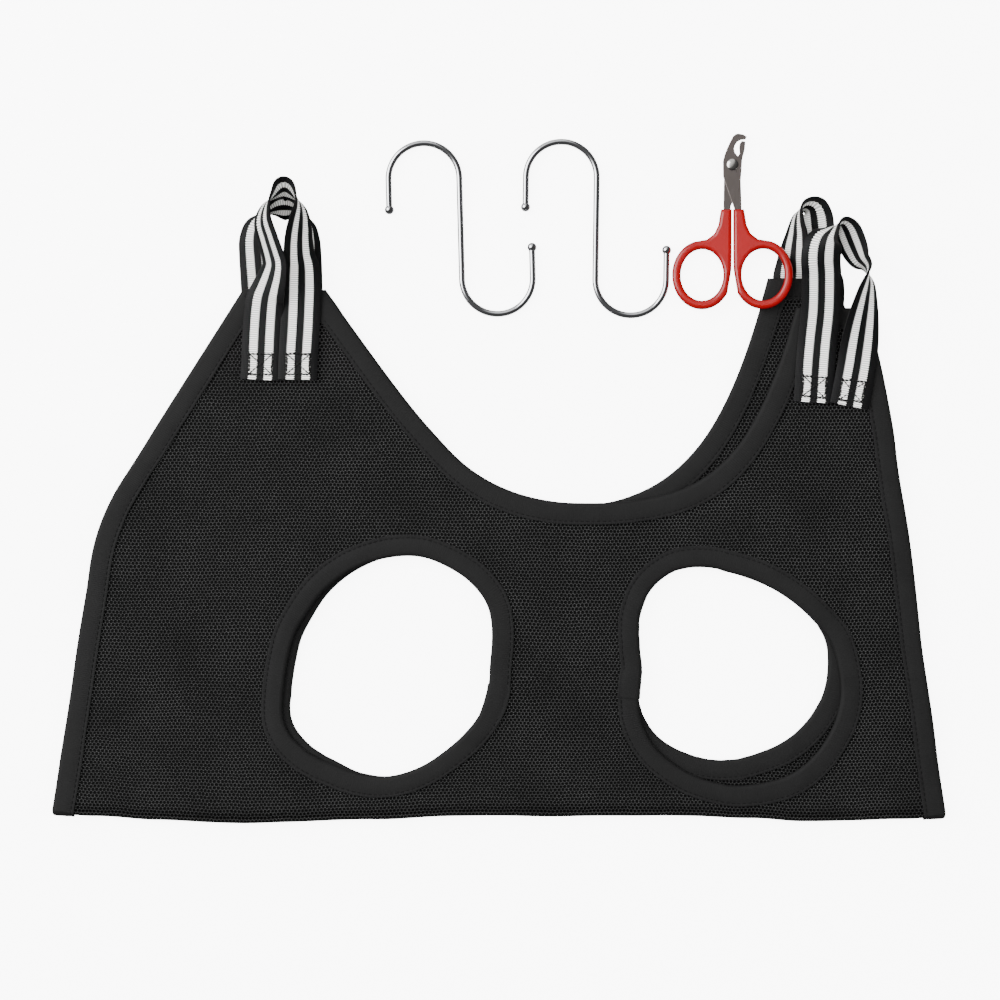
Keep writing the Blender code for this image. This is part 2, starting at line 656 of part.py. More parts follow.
def handle(name, sign, tang_level, plastic, place):
    """A shank that widens into a finger ring, with a pocket that holds its tang."""
    centre = (RING_CENTRE[0], -RING_CENTRE[1])
    outer = (RING_HOLE[0] + RING_BAND, RING_HOLE[1] + RING_BAND)
    outline = HANDLE_INSIDE + arc(centre, outer, RING_START, RING_END, 24) + HANDLE_OUTSIDE
    hole = arc(centre, RING_HOLE, 0, 360, 28)
    half = HANDLE_THICKNESS / 2
    grip = plate(name, mirrored(outline, sign), [mirrored(hole, sign)], -half, half, plastic, place)
    near = TANG_INNER - CLEARANCE
    far = TANG_OUTER + CLEARANCE
    deep = -TANG_END - CLEARANCE
    mouth = -HANDLE_TOP + CLEARANCE
    pocket = mirrored([(near, deep), (far, deep), (far, mouth), (near, mouth)], sign)
    depth = BLADE_THICKNESS / 2 + CLEARANCE
    cutter = plate(name + "_pocket", pocket, [], tang_level - depth, tang_level + depth, plastic, place)
    cutter.hide_render = True
    cutter.display_type = "WIRE"
    bevel = grip.modifiers.new("Round", "BEVEL")
    bevel.width = HANDLE_ROUND * MM
    bevel.segments = 2
    bevel.limit_method = "ANGLE"
    bevel.angle_limit = math.radians(50)
    cut = grip.modifiers.new("Tang pocket", "BOOLEAN")
    cut.operation = "DIFFERENCE"
    cut.solver = "EXACT"
    cut.object = cutter


def pivot_rivet(reach, steel, place):
    """A rivet with a domed head on both sides, each this far from the middle."""
    top = reach + RIVET_HEAD
    rim = reach + RIVET_RIM
    half = [(RIVET_SHAFT, reach), (RIVET_RADIUS, reach), (RIVET_RADIUS, rim), (RIVET_CROWN, top), (0, top)]
    profile = [(r, -z) for r, z in reversed(half)] + half
    turned("pivot_rivet", profile, 16, steel, place)


def scissors(plastic, steel):
    """Two blades on a rivet, and a handle on each tang. The right ring is held up by the back ear."""
    place = Matrix.Translation(Vector((SCISSORS_X, height(RIVET_HEIGHT), SCISSORS_RIVET_LEVEL)) * MM)
    place = place @ Matrix.Rotation(math.radians(-SCISSORS_ROLL), 4, "Y")
    place = place @ Matrix.Rotation(math.radians(-SCISSORS_PITCH), 4, "X")
    near = BLADE_GAP / 2
    far = near + BLADE_THICKNESS
    shaft = RIVET_SHAFT + SHAFT_CLEARANCE
    bore = arc((0, 0), (shaft, shaft), 0, 360, 16)
    plate("lower_blade", mirrored(LOWER_BLADE, 1), [bore], -far, -near, steel, place)
    plate("upper_blade", mirrored(UPPER_BLADE, 1), [bore], near, far, steel, place)
    pivot_rivet(far + CLEARANCE, steel, place)
    handle("left_handle", -1, -(near + far) / 2, plastic, place)
    handle("right_handle", 1, (near + far) / 2, plastic, place)


def turn_about_fold(prefix):
    """Gather the pieces whose names start with the prefix under an empty on the fold's axis."""
    axis = bpy.data.objects.new("fold_axis", None)
    bpy.context.collection.objects.link(axis)
    axis.location = Vector((0, FOLD_Y, FOLD_LEVEL)) * MM
    bpy.context.view_layer.update()
    for obj in list(bpy.data.objects):
        if obj.name.startswith(prefix) and not obj.name.endswith("_loop"):
            obj.parent = axis
            obj.matrix_parent_inverse = axis.matrix_world.inverted()


def main():
    for obj in list(bpy.data.objects):
        bpy.data.objects.remove(obj, do_unlink=True)
    cloth = material("black air mesh", (0.02, 0.02, 0.021), 0.85)
    tape = material("charcoal binding tape", (0.035, 0.035, 0.037), 0.7)
    webbing = material("striped webbing", (0.55, 0.55, 0.54), 0.8)
    thread = material("black thread", (0.015, 0.015, 0.016), 0.7)
    chrome = material("chrome plated wire", (0.8, 0.8, 0.82), 0.12, 1.0)
    steel = material("satin blade steel", (0.45, 0.43, 0.41), 0.3, 1.0)
    plastic = material("red handle plastic", (0.72, 0.01, 0.01), 0.25)

    front = Side(0.0, RIGHT_SHOULDER, RIGHT_EAR_INSET, RIGHT_EAR_HEIGHT, RIGHT_EAR_WIDTH, NECK_RIGHT_PULL,
                 FRONT_LEFT_HOLE, FRONT_RIGHT_HOLE, FRONT_RIGHT_STRAP_SHIFT, FRONT_RIGHT_STRAP_TURN)
    back = Side(BACK_EDGE_INSET, BACK_RIGHT_SHOULDER, BACK_RIGHT_EAR_INSET, BACK_RIGHT_EAR_HEIGHT,
                BACK_RIGHT_EAR_WIDTH, BACK_NECK_RIGHT_PULL, BACK_LEFT_HOLE, BACK_RIGHT_HOLE,
                BACK_RIGHT_STRAP_SHIFT, BACK_RIGHT_STRAP_TURN)
    for prefix, side, level in (("back", back, BACK_LEVEL), ("front", front, FRONT_LEVEL)):
        mesh_panel(prefix + "_mesh_panel", side, level, cloth)
        bindings(prefix, side, level, tape)
    belly_fold(cloth, tape)

    strap("front_left_strap", ear_frame(front, True), FRONT_TAIL_LEVEL, True, FRONT_LEFT_LOOP, webbing, thread)
    strap("front_right_strap", ear_frame(front, False), FRONT_TAIL_LEVEL, True, FRONT_RIGHT_LOOP, webbing, thread)
    strap("back_left_strap", ear_frame(back, True), 0.0, False, BACK_LEFT_LOOP, webbing, thread)
    strap("back_right_strap", ear_frame(back, False), 0.0, False, BACK_RIGHT_LOOP, webbing, thread)

    hook("hook_1", HOOK_1_X, HOOK_1_LEAN, chrome)
    hook("hook_2", HOOK_2_X, HOOK_2_LEAN, chrome)
    scissors(plastic, steel)
    turn_about_fold("front_")


main()
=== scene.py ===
# %% [markdown]
# # A grooming hammock for a small pet, laid flat with its kit
#
# The hammock is a sling of black air mesh, folded in half at the belly. Its edges are bound with
# tape, four holes take the legs, and four loops of striped webbing hang it from two chrome S-hooks.
# Small nail scissors come with it. Everything lies on a pale table and is seen from straight above.
#
# The measured solids are loaded first. They say where each piece is and which body it moves with,
# and each soft solid is then replaced by a piece that looks like cloth, tape or webbing.

# %% Load the measured solids
import math

import bpy
from mathutils import Matrix, Vector, noise
from mathutils.geometry import delaunay_2d_cdt


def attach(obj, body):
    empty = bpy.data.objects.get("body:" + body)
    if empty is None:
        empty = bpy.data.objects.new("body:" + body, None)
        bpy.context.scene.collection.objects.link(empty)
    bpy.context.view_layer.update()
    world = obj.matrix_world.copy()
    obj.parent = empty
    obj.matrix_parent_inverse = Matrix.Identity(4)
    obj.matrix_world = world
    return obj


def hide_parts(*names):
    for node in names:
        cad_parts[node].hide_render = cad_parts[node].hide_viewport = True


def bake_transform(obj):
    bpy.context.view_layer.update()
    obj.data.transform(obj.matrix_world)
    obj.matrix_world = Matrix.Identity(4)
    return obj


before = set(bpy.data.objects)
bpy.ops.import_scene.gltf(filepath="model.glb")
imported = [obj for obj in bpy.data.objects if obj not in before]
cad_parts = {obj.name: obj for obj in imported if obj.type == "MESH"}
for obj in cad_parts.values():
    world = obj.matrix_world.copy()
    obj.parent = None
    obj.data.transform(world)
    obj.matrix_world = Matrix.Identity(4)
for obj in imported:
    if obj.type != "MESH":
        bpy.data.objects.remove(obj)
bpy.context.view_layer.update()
MM = 0.001

# %% [markdown]
# ## Sizes
#
# All sizes are in millimetres, and the meshes are scaled to metres when they are made. The layers
# lie on each other in a fixed order, from the table up: the back straps' tails, the back layer, the
# front layer, and the front straps' tails.

# %% Sizes of cloth, tape and webbing
CLEARANCE = 0.3
MESH_THICKNESS = 1.6
TAPE_THICKNESS = 0.5
TAPE_WIDTH = 11.0
WEBBING_WIDTH = 20.0
WEBBING_THICKNESS = 1.3
TAIL_LENGTH = 13.8
STITCH_BOX = (12.0, 10.6)
STITCH_TOP = 0.7

# %% Sizes of the outline, measured from the belly fold's outer edge
BELLY_LENGTH = 455.0
KIT_DEPTH = 353.0
SHOULDER_ROUND = 26.0
LEFT_SHOULDER = (21.8, 154.7)
LEFT_EAR = (96.9, 272.9, 42.0)
NECK_LOW = (38.8, 164.8)
NECK_LEFT_PULL = (90.0, 54.0)
# A hole is its middle's distance from the end and from the fold, half its width and height, its lean.
LAYERS = {
    "front": dict(inset=0.0, shoulder=(27.7, 212.5), ear=(39.5, 263.7, 36.5), neck_pull=(56.0, 98.0),
                  left_hole=(171.4, 81.4, 53.5, 56.9, -7.5), right_hole=(104.3, 74.7, 51.8, 56.9, 7.0),
                  strap_shift=4.8, strap_turn=-6.0),
    "back": dict(inset=1.0, shoulder=(33.0, 214.0), ear=(56.0, 279.0, 34.0), neck_pull=(60.0, 70.0),
                 left_hole=(174.6, 81.9, 52.5, 57.4, -7.5), right_hole=(110.6, 88.2, 51.5, 55.6, 7.0),
                 strap_shift=2.5, strap_turn=-4.0),
}

# %% Levels of the layers and place of the fold
BINDING_THICKNESS = MESH_THICKNESS + 2 * (TAPE_THICKNESS + CLEARANCE)
BACK_LEVEL = WEBBING_THICKNESS + CLEARANCE
FRONT_LEVEL = BACK_LEVEL + BINDING_THICKNESS + CLEARANCE
FRONT_TAIL_LEVEL = FRONT_LEVEL + BINDING_THICKNESS + CLEARANCE
LEVELS = {"front": FRONT_LEVEL, "back": BACK_LEVEL}
FOLD_LEVEL = FRONT_LEVEL - CLEARANCE / 2
FOLD_RADIUS = CLEARANCE / 2 + TAPE_THICKNESS + CLEARANCE + MESH_THICKNESS
LEFT_END = -BELLY_LENGTH / 2
RIGHT_END = BELLY_LENGTH / 2
FOLD_EDGE = -KIT_DEPTH / 2
FOLD_Y = FOLD_EDGE + FOLD_RADIUS / math.cos(math.pi / 16) + TAPE_THICKNESS + CLEARANCE
print("fold axis at y", round(FOLD_Y, 2), "mm, level", round(FOLD_LEVEL, 2), "mm")

# %% [markdown]
# ## Camera, table and light
#
# A photo's pixel is 0.51 mm on the cloth. The table glows for the camera alone, as a lightbox does in
# product pictures, and mirrors see it as dark.

# %% Helpers for objects and nodes


def new_object(name, data):
    """An object with this data, in the scene."""
    made = bpy.data.objects.new(name, data)
    bpy.context.scene.collection.objects.link(made)
    return made


def feed(node, inputs):
    """Fill a node's inputs: each is a value, or an output socket that is linked to it."""
    for name, source in inputs.items():
        socket = node.inputs[name]
        if isinstance(source, bpy.types.NodeSocket):
            node.id_data.links.new(source, socket)
        else:
            socket.default_value = source
    return node


def add(tree, kind, inputs=(), **settings):
    """A node of this kind, with these settings and inputs."""
    node = tree.nodes.new(kind)
    for key, value in settings.items():
        setattr(node, key, value)
    return feed(node, dict(inputs))


def number(tree, operation, *values):
    """The result of one sum on numbers."""
    return add(tree, "ShaderNodeMath", dict(enumerate(values)), operation=operation).outputs[0]


def vector(tree, operation, *values):
    """The result of one sum on vectors."""
    result = "Value" if operation in ("DOT_PRODUCT", "LENGTH") else "Vector"
    return add(tree, "ShaderNodeVectorMath", dict(enumerate(values)), operation=operation).outputs[result]


def remap(tree, value, start, end, low=0.0, high=1.0, how="LINEAR"):
    """A value moved from one range to another."""
    ends = {"From Min": start, "From Max": end, "To Min": low, "To Max": high}
    return add(tree, "ShaderNodeMapRange", {"Value": value, **ends}, interpolation_type=how).outputs["Result"]


def clouds(tree, place, scale, detail, roughness=0.5):
    """The outputs of soft noise."""
    values = {"Vector": place, "Scale": scale, "Detail": detail, "Roughness": roughness}
    return add(tree, "ShaderNodeTexNoise", values).outputs


def relief(tree, level, distance, strength):
    """The normal of a surface with this relief, whose full height is the distance in metres."""
    values = {"Height": level, "Distance": distance, "Strength": strength}
    return add(tree, "ShaderNodeBump", values).outputs["Normal"]


# %% Helpers for colours and materials


def srgb(code):
    """The linear colour of an sRGB hex value."""
    values = [int(code[i:i + 2], 16) / 255 for i in (1, 3, 5)]
    return [v / 12.92 if v <= 0.04045 else ((v + 0.055) / 1.055) ** 2.4 for v in values] + [1.0]


def mixed(tree, factor, first, second, how="MIX"):
    """Two colours mixed by a factor."""
    colours = {"Factor": factor, "A": first, "B": second}
    return add(tree, "ShaderNodeMix", colours, data_type="RGBA", blend_type=how).outputs["Result"]


def graded(tree, value, stops, how="LINEAR"):
    """A colour for each value, from stops of (position, colour)."""
    node = add(tree, "ShaderNodeValToRGB", {"Fac": value})
    node.color_ramp.interpolation = how
    for _ in stops[2:]:
        node.color_ramp.elements.new(0.5)
    for element, (position, colour) in zip(node.color_ramp.elements, stops):
        element.position = position
        element.color = colour
    return node.outputs["Color"]


def start_material(name, colour, roughness, metallic=0.0):
    """A material whose one shader has these plain values."""
    made = bpy.data.materials.new(name)
    made.use_nodes = True
    shader = made.node_tree.nodes["Principled BSDF"]
    feed(shader, {"Base Color": srgb(colour), "Roughness": roughness, "Metallic": metallic})
    return made, made.node_tree, shader


def flat_place(tree):
    """The place on a piece's flat pattern, from its UV map in millimetres."""
    return add(tree, "ShaderNodeUVMap", uv_map="Flat").outputs["UV"]


# %% Camera
PHOTO_PIXEL = 0.51
PHOTO_SIZE = 1000
KIT_CENTRE_PIXEL = (499.0, 479.0)
LENS = 100.0
SENSOR = 36.0


def look_down():
    data = bpy.data.cameras.new("overhead camera")
    data.lens = LENS
    data.sensor_width = SENSOR
    camera = new_object("overhead_camera", data)
    middle = PHOTO_SIZE / 2
    x = (middle - KIT_CENTRE_PIXEL[0]) * PHOTO_PIXEL
    y = (KIT_CENTRE_PIXEL[1] - middle) * PHOTO_PIXEL
    distance = PHOTO_PIXEL * PHOTO_SIZE * LENS / SENSOR
    camera.location = Vector((x, y, distance + FRONT_LEVEL)) * MM
    bpy.context.scene.camera = camera
    print("camera height", round(camera.location.z, 3), "m")


look_down()

# %% Table and lights
TABLE_HALF = 4.0
TABLE_GLOW = 7.0
WORLD_STRENGTH = 1.3
BRIGHT_SIDE = (-0.56, 0.48, 0.3)
WALLS = ((0.0, 0.05), (0.36, 0.09), (0.52, 0.9), (1.0, 1.0))


def table_top():
    mesh = bpy.data.meshes.new("table")
    corners = [(x * TABLE_HALF, y * TABLE_HALF, 0) for x, y in ((-1, -1), (1, -1), (1, 1), (-1, 1))]
    mesh.from_pydata(corners, [], [(0, 1, 2, 3)])
    pale, tree, shader = start_material("backlit opal sheet", "#f4f4f4", 0.9)
    rays = add(tree, "ShaderNodeLightPath").outputs
    feed(shader, {"Base Color": mixed(tree, rays["Is Glossy Ray"], srgb("#f4f4f4"), srgb("#4a4a4a")),
                  "Emission Strength": number(tree, "MULTIPLY", rays["Is Camera Ray"], TABLE_GLOW),
                  "Emission Color": srgb("#ffffff")})
    mesh.materials.append(pale)
    new_object("table", mesh)


def soft_box(name, place, size, power, in_mirrors=False):
    data = bpy.data.lights.new(name, "AREA")
    data.size = size
    data.energy = power
    light = new_object(name, data)
    light.location = place
    light.rotation_mode = "QUATERNION"
    light.rotation_quaternion = (-Vector(place)).to_track_quat("-Z", "Y")
    light.visible_camera = False
    light.visible_glossy = in_mirrors
    print(name, power, "W")


def studio_world():
    """A dark room with one bright wall, but pale where the camera looks past the table."""
    world = bpy.data.worlds.new("studio")
    bpy.context.scene.world = world
    world.use_nodes = True
    tree = world.node_tree
    place = add(tree, "ShaderNodeTexCoord").outputs["Generated"]
    side = vector(tree, "DOT_PRODUCT", place, BRIGHT_SIDE)
    walls = graded(tree, side, [(position, (bright, bright, bright, 1)) for position, bright in WALLS])
    rays = add(tree, "ShaderNodeLightPath").outputs
    seen = mixed(tree, rays["Is Camera Ray"], walls, (TABLE_GLOW, TABLE_GLOW, TABLE_GLOW, 1))
    feed(tree.nodes["Background"], {"Color": seen, "Strength": WORLD_STRENGTH})


table_top()
soft_box("key_light", (-1.2, 0.6, 1.2), 1.5, 50.0, in_mirrors=True)
soft_box("fill_light", (1.3, -0.2, 1.1), 1.1, 20.0)
soft_box("top_light", (0.0, 0.05, 1.9), 1.2, 46.0)
studio_world()

# %% [markdown]
# ## Curves in plan
#
# The hammock is a flat pattern, so its edges are drawn in plan first: straight seams with round
# shoulders, a neck of two cubic curves, and leg holes that are leaning ovals. Use has pulled the soft
# holes out of shape, so each point of an oval then moves a little outwards or inwards. The same
# curves guide the cloth, the tape and the stitches, so they always fit each other.

# %% Curves
NECK_LEFT_WAY = Vector((0.59, -0.81))
NECK_RIGHT_WAY = Vector((0.26, 0.966))
SHOULDER_PULL = 0.6
SHOULDER_STEPS = 12
NECK_STEPS = 40
HOLE_STEPS = 110
PULL_STEPS = 10


def height(value):
    """The Y of a point this far from the fold's outer edge."""
    return FOLD_EDGE + value


def bezier(start, pull_start, pull_end, end, steps):
    """Points of a cubic curve, its first point included and its last left out."""
    points = []
    for step in range(steps):
        t = step / steps
        weights = ((1 - t) ** 3, 3 * t * (1 - t) ** 2, 3 * t * t * (1 - t), t ** 3)
        pulled = (weight * point for weight, point in zip(weights, (start, pull_start, pull_end, end)))
        points.append(sum(pulled, Vector((0, 0))))
    return points


def spline(points, steps):
    """A smooth curve through points of any dimension, with this many steps from one to the next."""
    last = len(points) - 1
    result = []
    for i in range(last):
        before = points[max(i - 1, 0)]
        after = points[min(i + 2, last)]
        for step in range(steps):
            t = step / steps
            result.append(0.5 * (2 * points[i] + t * (points[i + 1] - before)
                                 + t * t * (2 * before - 5 * points[i] + 4 * points[i + 1] - after)
                                 + t ** 3 * (3 * points[i] - before - 3 * points[i + 1] + after)))
    result.append(points[last].copy())
    return result


def circle(sides):
    """The cosine and sine of each corner of a round section."""
    angles = [2 * math.pi * k / sides for k in range(sides)]
    return [(math.cos(angle), math.sin(angle)) for angle in angles]


def seam(fold_corner, shoulder, ear_corner):
    """An end edge: straight up from the fold, round at the shoulder, and on to the ear."""
    lower = (shoulder - fold_corner).normalized()
    upper = (ear_corner - shoulder).normalized()
    start = shoulder - lower * SHOULDER_ROUND
    end = shoulder + upper * SHOULDER_ROUND
    pull = SHOULDER_ROUND * SHOULDER_PULL
    bend = bezier(start, start + lower * pull, end - upper * pull, end, SHOULDER_STEPS)
    return [fold_corner] + bend + [end]


# Each hole's middle, and how far its edge has moved outwards at 24 places round it.
HOLE_PULLS = {
    "left": ((-54.6, -93.8), [-2.0, -1.0, 1.0, 0.2, -0.8, -0.8, -1.4, -1.5, -1.2, -1.0, -1.6, -1.4,
                              -1.6, 0.0, 3.2, 1.4, -1.0, 0.3, 1.5, 1.7, 1.0, 1.2, 1.5, 0.0]),
    "right": ((119.3, -95.9), [-1.3, -0.9, -3.0, -4.0, -4.6, -4.7, -3.4, 0.6, 4.8, 6.2, 4.0, 0.2,
                               -2.0, 1.0, 4.8, 6.2, 5.2, 3.6, 0.7, -2.0, -3.4, -3.6, -2.9, -1.8]),
}


def leg_hole(side, from_end, middle, half_width, half_height, lean):
    """A closed edge, anticlockwise: an oval whose upper half leans sideways, pulled out of shape."""
    hole_middle = Vector(HOLE_PULLS[side][0])
    pulls = HOLE_PULLS[side][1]
    smooth = spline([Vector((p, 0)) for p in pulls[-2:] + pulls + pulls[:2]], PULL_STEPS)[2 * PULL_STEPS:]
    result = []
    for c, s in circle(HOLE_STEPS):
        point = Vector((from_end + (half_width * c - lean * s), height(middle) + half_height * s))
        arm = point - hole_middle
        turn = math.atan2(arm.y, arm.x) / (2 * math.pi) % 1
        result.append(point + arm.normalized() * smooth[round(turn * len(pulls) * PULL_STEPS)].x)
    return result


def layer_outline(inset, shoulder, ear, neck_pull, left_hole, right_hole, strap_shift, strap_turn):
    """The corners, end edges, neck and leg holes of one layer."""
    left_tip = height(LEFT_EAR[1]) - inset
    right_tip = height(ear[1])
    left_outer = Vector((LEFT_END + LEFT_EAR[0] + inset, left_tip))
    left_inner = Vector((left_outer.x + LEFT_EAR[2] - 2 * inset, left_tip))
    right_outer = Vector((RIGHT_END - ear[0], right_tip))
    right_inner = Vector((right_outer.x - ear[2], right_tip))
    left_bend = Vector((LEFT_END + LEFT_SHOULDER[0] + inset, height(LEFT_SHOULDER[1])))
    right_bend = Vector((RIGHT_END - shoulder[0], height(shoulder[1])))
    left_seam = seam(Vector((LEFT_END + inset, FOLD_Y)), left_bend, left_outer)
    right_seam = seam(Vector((RIGHT_END - inset, FOLD_Y)), right_bend, right_outer)
    low = Vector((NECK_LOW[0], height(NECK_LOW[1]) - inset))
    level = Vector((1, 0))
    neck = bezier(left_inner, left_inner + NECK_LEFT_WAY * NECK_LEFT_PULL[0],
                  low - level * NECK_LEFT_PULL[1], low, NECK_STEPS)
    neck += bezier(low, low + level * neck_pull[0], right_inner - NECK_RIGHT_WAY * neck_pull[1],
                   right_inner, NECK_STEPS)
    return dict(left_outer=left_outer, left_inner=left_inner, right_outer=right_outer,
                right_inner=right_inner, neck=neck + [right_inner],
                left_edge=left_seam + [left_outer, left_inner],
                right_edge=[right_inner, right_outer] + right_seam[::-1],
                left_hole=leg_hole("left", LEFT_END + left_hole[0], *left_hole[1:]),
                right_hole=leg_hole("right", RIGHT_END - right_hole[0], *right_hole[1:]))


def spread(path, step, closed=False):
    """The same path with a point at every step along it."""
    ends = path + [path[0]] if closed else path
    result = []
    for a, b in zip(ends, ends[1:]):
        count = max(1, round((b - a).length / step))
        result += [a.lerp(b, i / count) for i in range(count)]
    return result if closed else result + [ends[-1]]


def side_normals(path, closed=False):
    """Mitred normals that point to the left of a path in plan."""
    normals = []
    count = len(path)
    for i in range(count):
        edges = []
        if closed or i:
            edges.append((path[i] - path[i - 1]).normalized())
        if closed or i < count - 1:
            edges.append((path[(i + 1) % count] - path[i]).normalized())
        sides = [Vector((-edge.y, edge.x)) for edge in edges]
        total = sum(sides, Vector((0, 0)))
        normals.append(total / total.dot(sides[0]))
    return normals


outlines = {layer: layer_outline(**sizes) for layer, sizes in LAYERS.items()}
print("points of the front neck", len(outlines["front"]["neck"]))

# %% [markdown]
# ## How the cloth lies
#
# Cloth never lies dead flat. One slow, small wave and a finer ripple are added to every point of the
# hammock, in height and a little in plan, so that cloth, tape and stitches all follow the same swell.
# They fade out at the ears, where the webbing holds the cloth flat. The lower edge isn't a straight
# line either: the fold has slipped a few millimetres towards the neck, more at the left end.

# %% Small waves for everything that is sewn on the hammock
WAVE_LENGTH = 62.0
WAVE_HEIGHT = 1.3
WAVE_SHIFT = 0.8
SHIFT_PACE = 1.7
SHIFT_START = Vector((5, 3, 1))
SHIFT_SEED = 61
RIPPLE_LENGTH = 17.0
RIPPLE_HEIGHT = 0.22
RIPPLE_START = 40
EARS_FROM = 12.0
EARS_TO = 38.0
FOLD_FADE = 66.0
# Places along the fold, and how far it has slipped there.
FOLD_RISE = [
    (-227.5, 4.6), (-206, 3.4), (-175, 1.6), (-145, 0.4), (-101, 0.8), (-63, 2.0), (-25, 3.2), (51, 3.4),
    (102, 3.6), (128, 2.6), (154, 1.0), (180, 1.0), (205, 1.8), (227.5, 2.8)]


def smooth_step(value, start, end):
    """From 0 at the start to 1 at the end, with a soft beginning and end."""
    t = min(max((value - start) / (end - start), 0), 1)
    return t * t * (3 - 2 * t)


def fold_rise(x):
    """How far the fold has slipped towards the neck at this place along it."""
    for (x0, y0), (x1, y1) in zip(FOLD_RISE, FOLD_RISE[1:]):
        if x <= x1:
            return y0 + (y1 - y0) * smooth_step(x, x0, x1)
    return FOLD_RISE[-1][1]


def lie(point):
    """The place of a point in millimetres after the cloth's waves and the fold's slip."""
    strength = smooth_step(point.y, EARS_TO, EARS_FROM)
    at = Vector((point.x / WAVE_LENGTH, point.y / WAVE_LENGTH, 0))
    lift = noise.noise(at) * WAVE_HEIGHT
    lift += noise.noise(Vector((point.x, point.y, RIPPLE_START)) / RIPPLE_LENGTH) * RIPPLE_HEIGHT
    shift = noise.noise_vector(at * SHIFT_PACE + SHIFT_START) * WAVE_SHIFT
    slip = fold_rise(point.x) * smooth_step(point.y, FOLD_Y + FOLD_FADE, FOLD_Y)
    return point + Vector((shift.x, shift.y, lift)) * strength + Vector((0, slip, 0))


# Noise in three directions starts from a seed. With a fixed one the cloth lies the same way every time.
noise.seed_set(SHIFT_SEED)
print("the fold's slip at its left end", fold_rise(LEFT_END), "mm")

# %% [markdown]
# ## Meshes
#
# Tape, webbing and wire are all one idea: a cross-section carried along a path. A single function
# makes such a skin and gives it a UV map in millimetres, one way across and the other way along, so
# that weave and stripes keep their real size on every bend.

# %% Skins through rings of points


def finish_mesh(name, vertices, faces, corners, finish, smooth_to=40.0):
    """An object from points in millimetres, its faces turned outwards, with a UV map in millimetres."""
    mesh = bpy.data.meshes.new(name)
    mesh.from_pydata([Vector(v) * MM for v in vertices], [], faces)
    flat = [corner for face in corners for corner in face]
    for place, corner in zip(mesh.uv_layers.new(name="Flat").data, flat):
        place.uv = corner
    mesh.materials.append(finish)
    mesh.shade_smooth()
    mesh.set_sharp_from_angle(angle=math.radians(smooth_to))
    mesh.calc_loop_triangles()
    volume = 0.0
    for triangle in mesh.loop_triangles:
        a, b, c = (mesh.vertices[i].co for i in triangle.vertices)
        volume += a.dot(b.cross(c))
    if volume < 0:
        mesh.flip_normals()
    return new_object(name, mesh)


def skin(name, rings, across, along, finish, swap=False, smooth_to=40.0):
    """A closed skin through rings, with flat ends. Swap turns its UV map by a quarter."""
    size = len(rings[0])
    last = len(rings) - 1
    vertices = [point for ring in rings for point in ring]
    faces = []
    corners = []
    for i in range(last):
        for k in range(size):
            n = (k + 1) % size
            faces.append((i * size + k, i * size + n, (i + 1) * size + n, (i + 1) * size + k))
            face = [(across[k], along[i]), (across[k + 1], along[i]), (across[k + 1], along[i + 1]),
                    (across[k], along[i + 1])]
            corners.append([(v, u) for u, v in face] if swap else face)
    for i, order in ((0, range(size)[::-1]), (last, range(size))):
        faces.append(tuple(i * size + k for k in order))
        corners.append([(across[k], along[i]) for k in order])
    return finish_mesh(name, vertices, faces, corners, finish, smooth_to)


def lengths(points, closed=False):
    """The distance along a line of points at each of them, and back at the first where it closes."""
    ends = points + [points[0]] if closed else points
    result = [0.0]
    for a, b in zip(ends, ends[1:]):
        result.append(result[-1] + (b - a).length)
    return result


def heading(points, i):
    """The way that a line of points runs at one of them."""
    return (points[min(i + 1, len(points) - 1)] - points[max(i - 1, 0)]).normalized()


def baked(source, name):
    """The plain mesh of an object with all that acts on it. The object itself goes."""
    bpy.context.view_layer.update()
    graph = bpy.context.evaluated_depsgraph_get()
    mesh = bpy.data.meshes.new_from_object(source.evaluated_get(graph), depsgraph=graph)
    bpy.data.objects.remove(source)
    mesh.name = name
    return mesh


# %% [markdown]
# ## Cloth and tape finishes
#
# Air mesh is a knitted spacer cloth with a grid of round holes, staggered like a honeycomb, about
# 2 mm apart. In a picture it reads as dark dots in dark grey yarn. The holes come from a formula on
# the UV map: the distance to the nearest point of two shifted grids. Each hole is painted near black
# as the shade inside it, and the yarn is painted lighter the farther it lies from a hole, as a
# highlight on its crest.

# %% Air mesh
HOLE_PITCH = 1.9
HOLE_RADIUS = 0.55
HOLE_ROW = HOLE_PITCH * math.sqrt(3)
# Painted shade and highlight: near black in the middle of a hole, and lighter on the yarn the farther it lies
# from the holes.
HOLE_SHADE_YARN_HIGHLIGHT_COLOURS = ((0.08, "#010101"), (0.5, "#0a0a0a"), (0.8, "#191919"), (1.0, "#363636"))


def grid_distance(tree, place, shift):
    """The distance in millimetres to the nearest point of one grid of holes."""
    moved = vector(tree, "ADD", place, shift)
    within = vector(tree, "FRACTION", vector(tree, "DIVIDE", moved, (HOLE_PITCH, HOLE_ROW, 1.0)))
    centred = vector(tree, "SUBTRACT", within, (0.5, 0.5, 0))
    return vector(tree, "LENGTH", vector(tree, "MULTIPLY", centred, (HOLE_PITCH, HOLE_ROW, 0)))


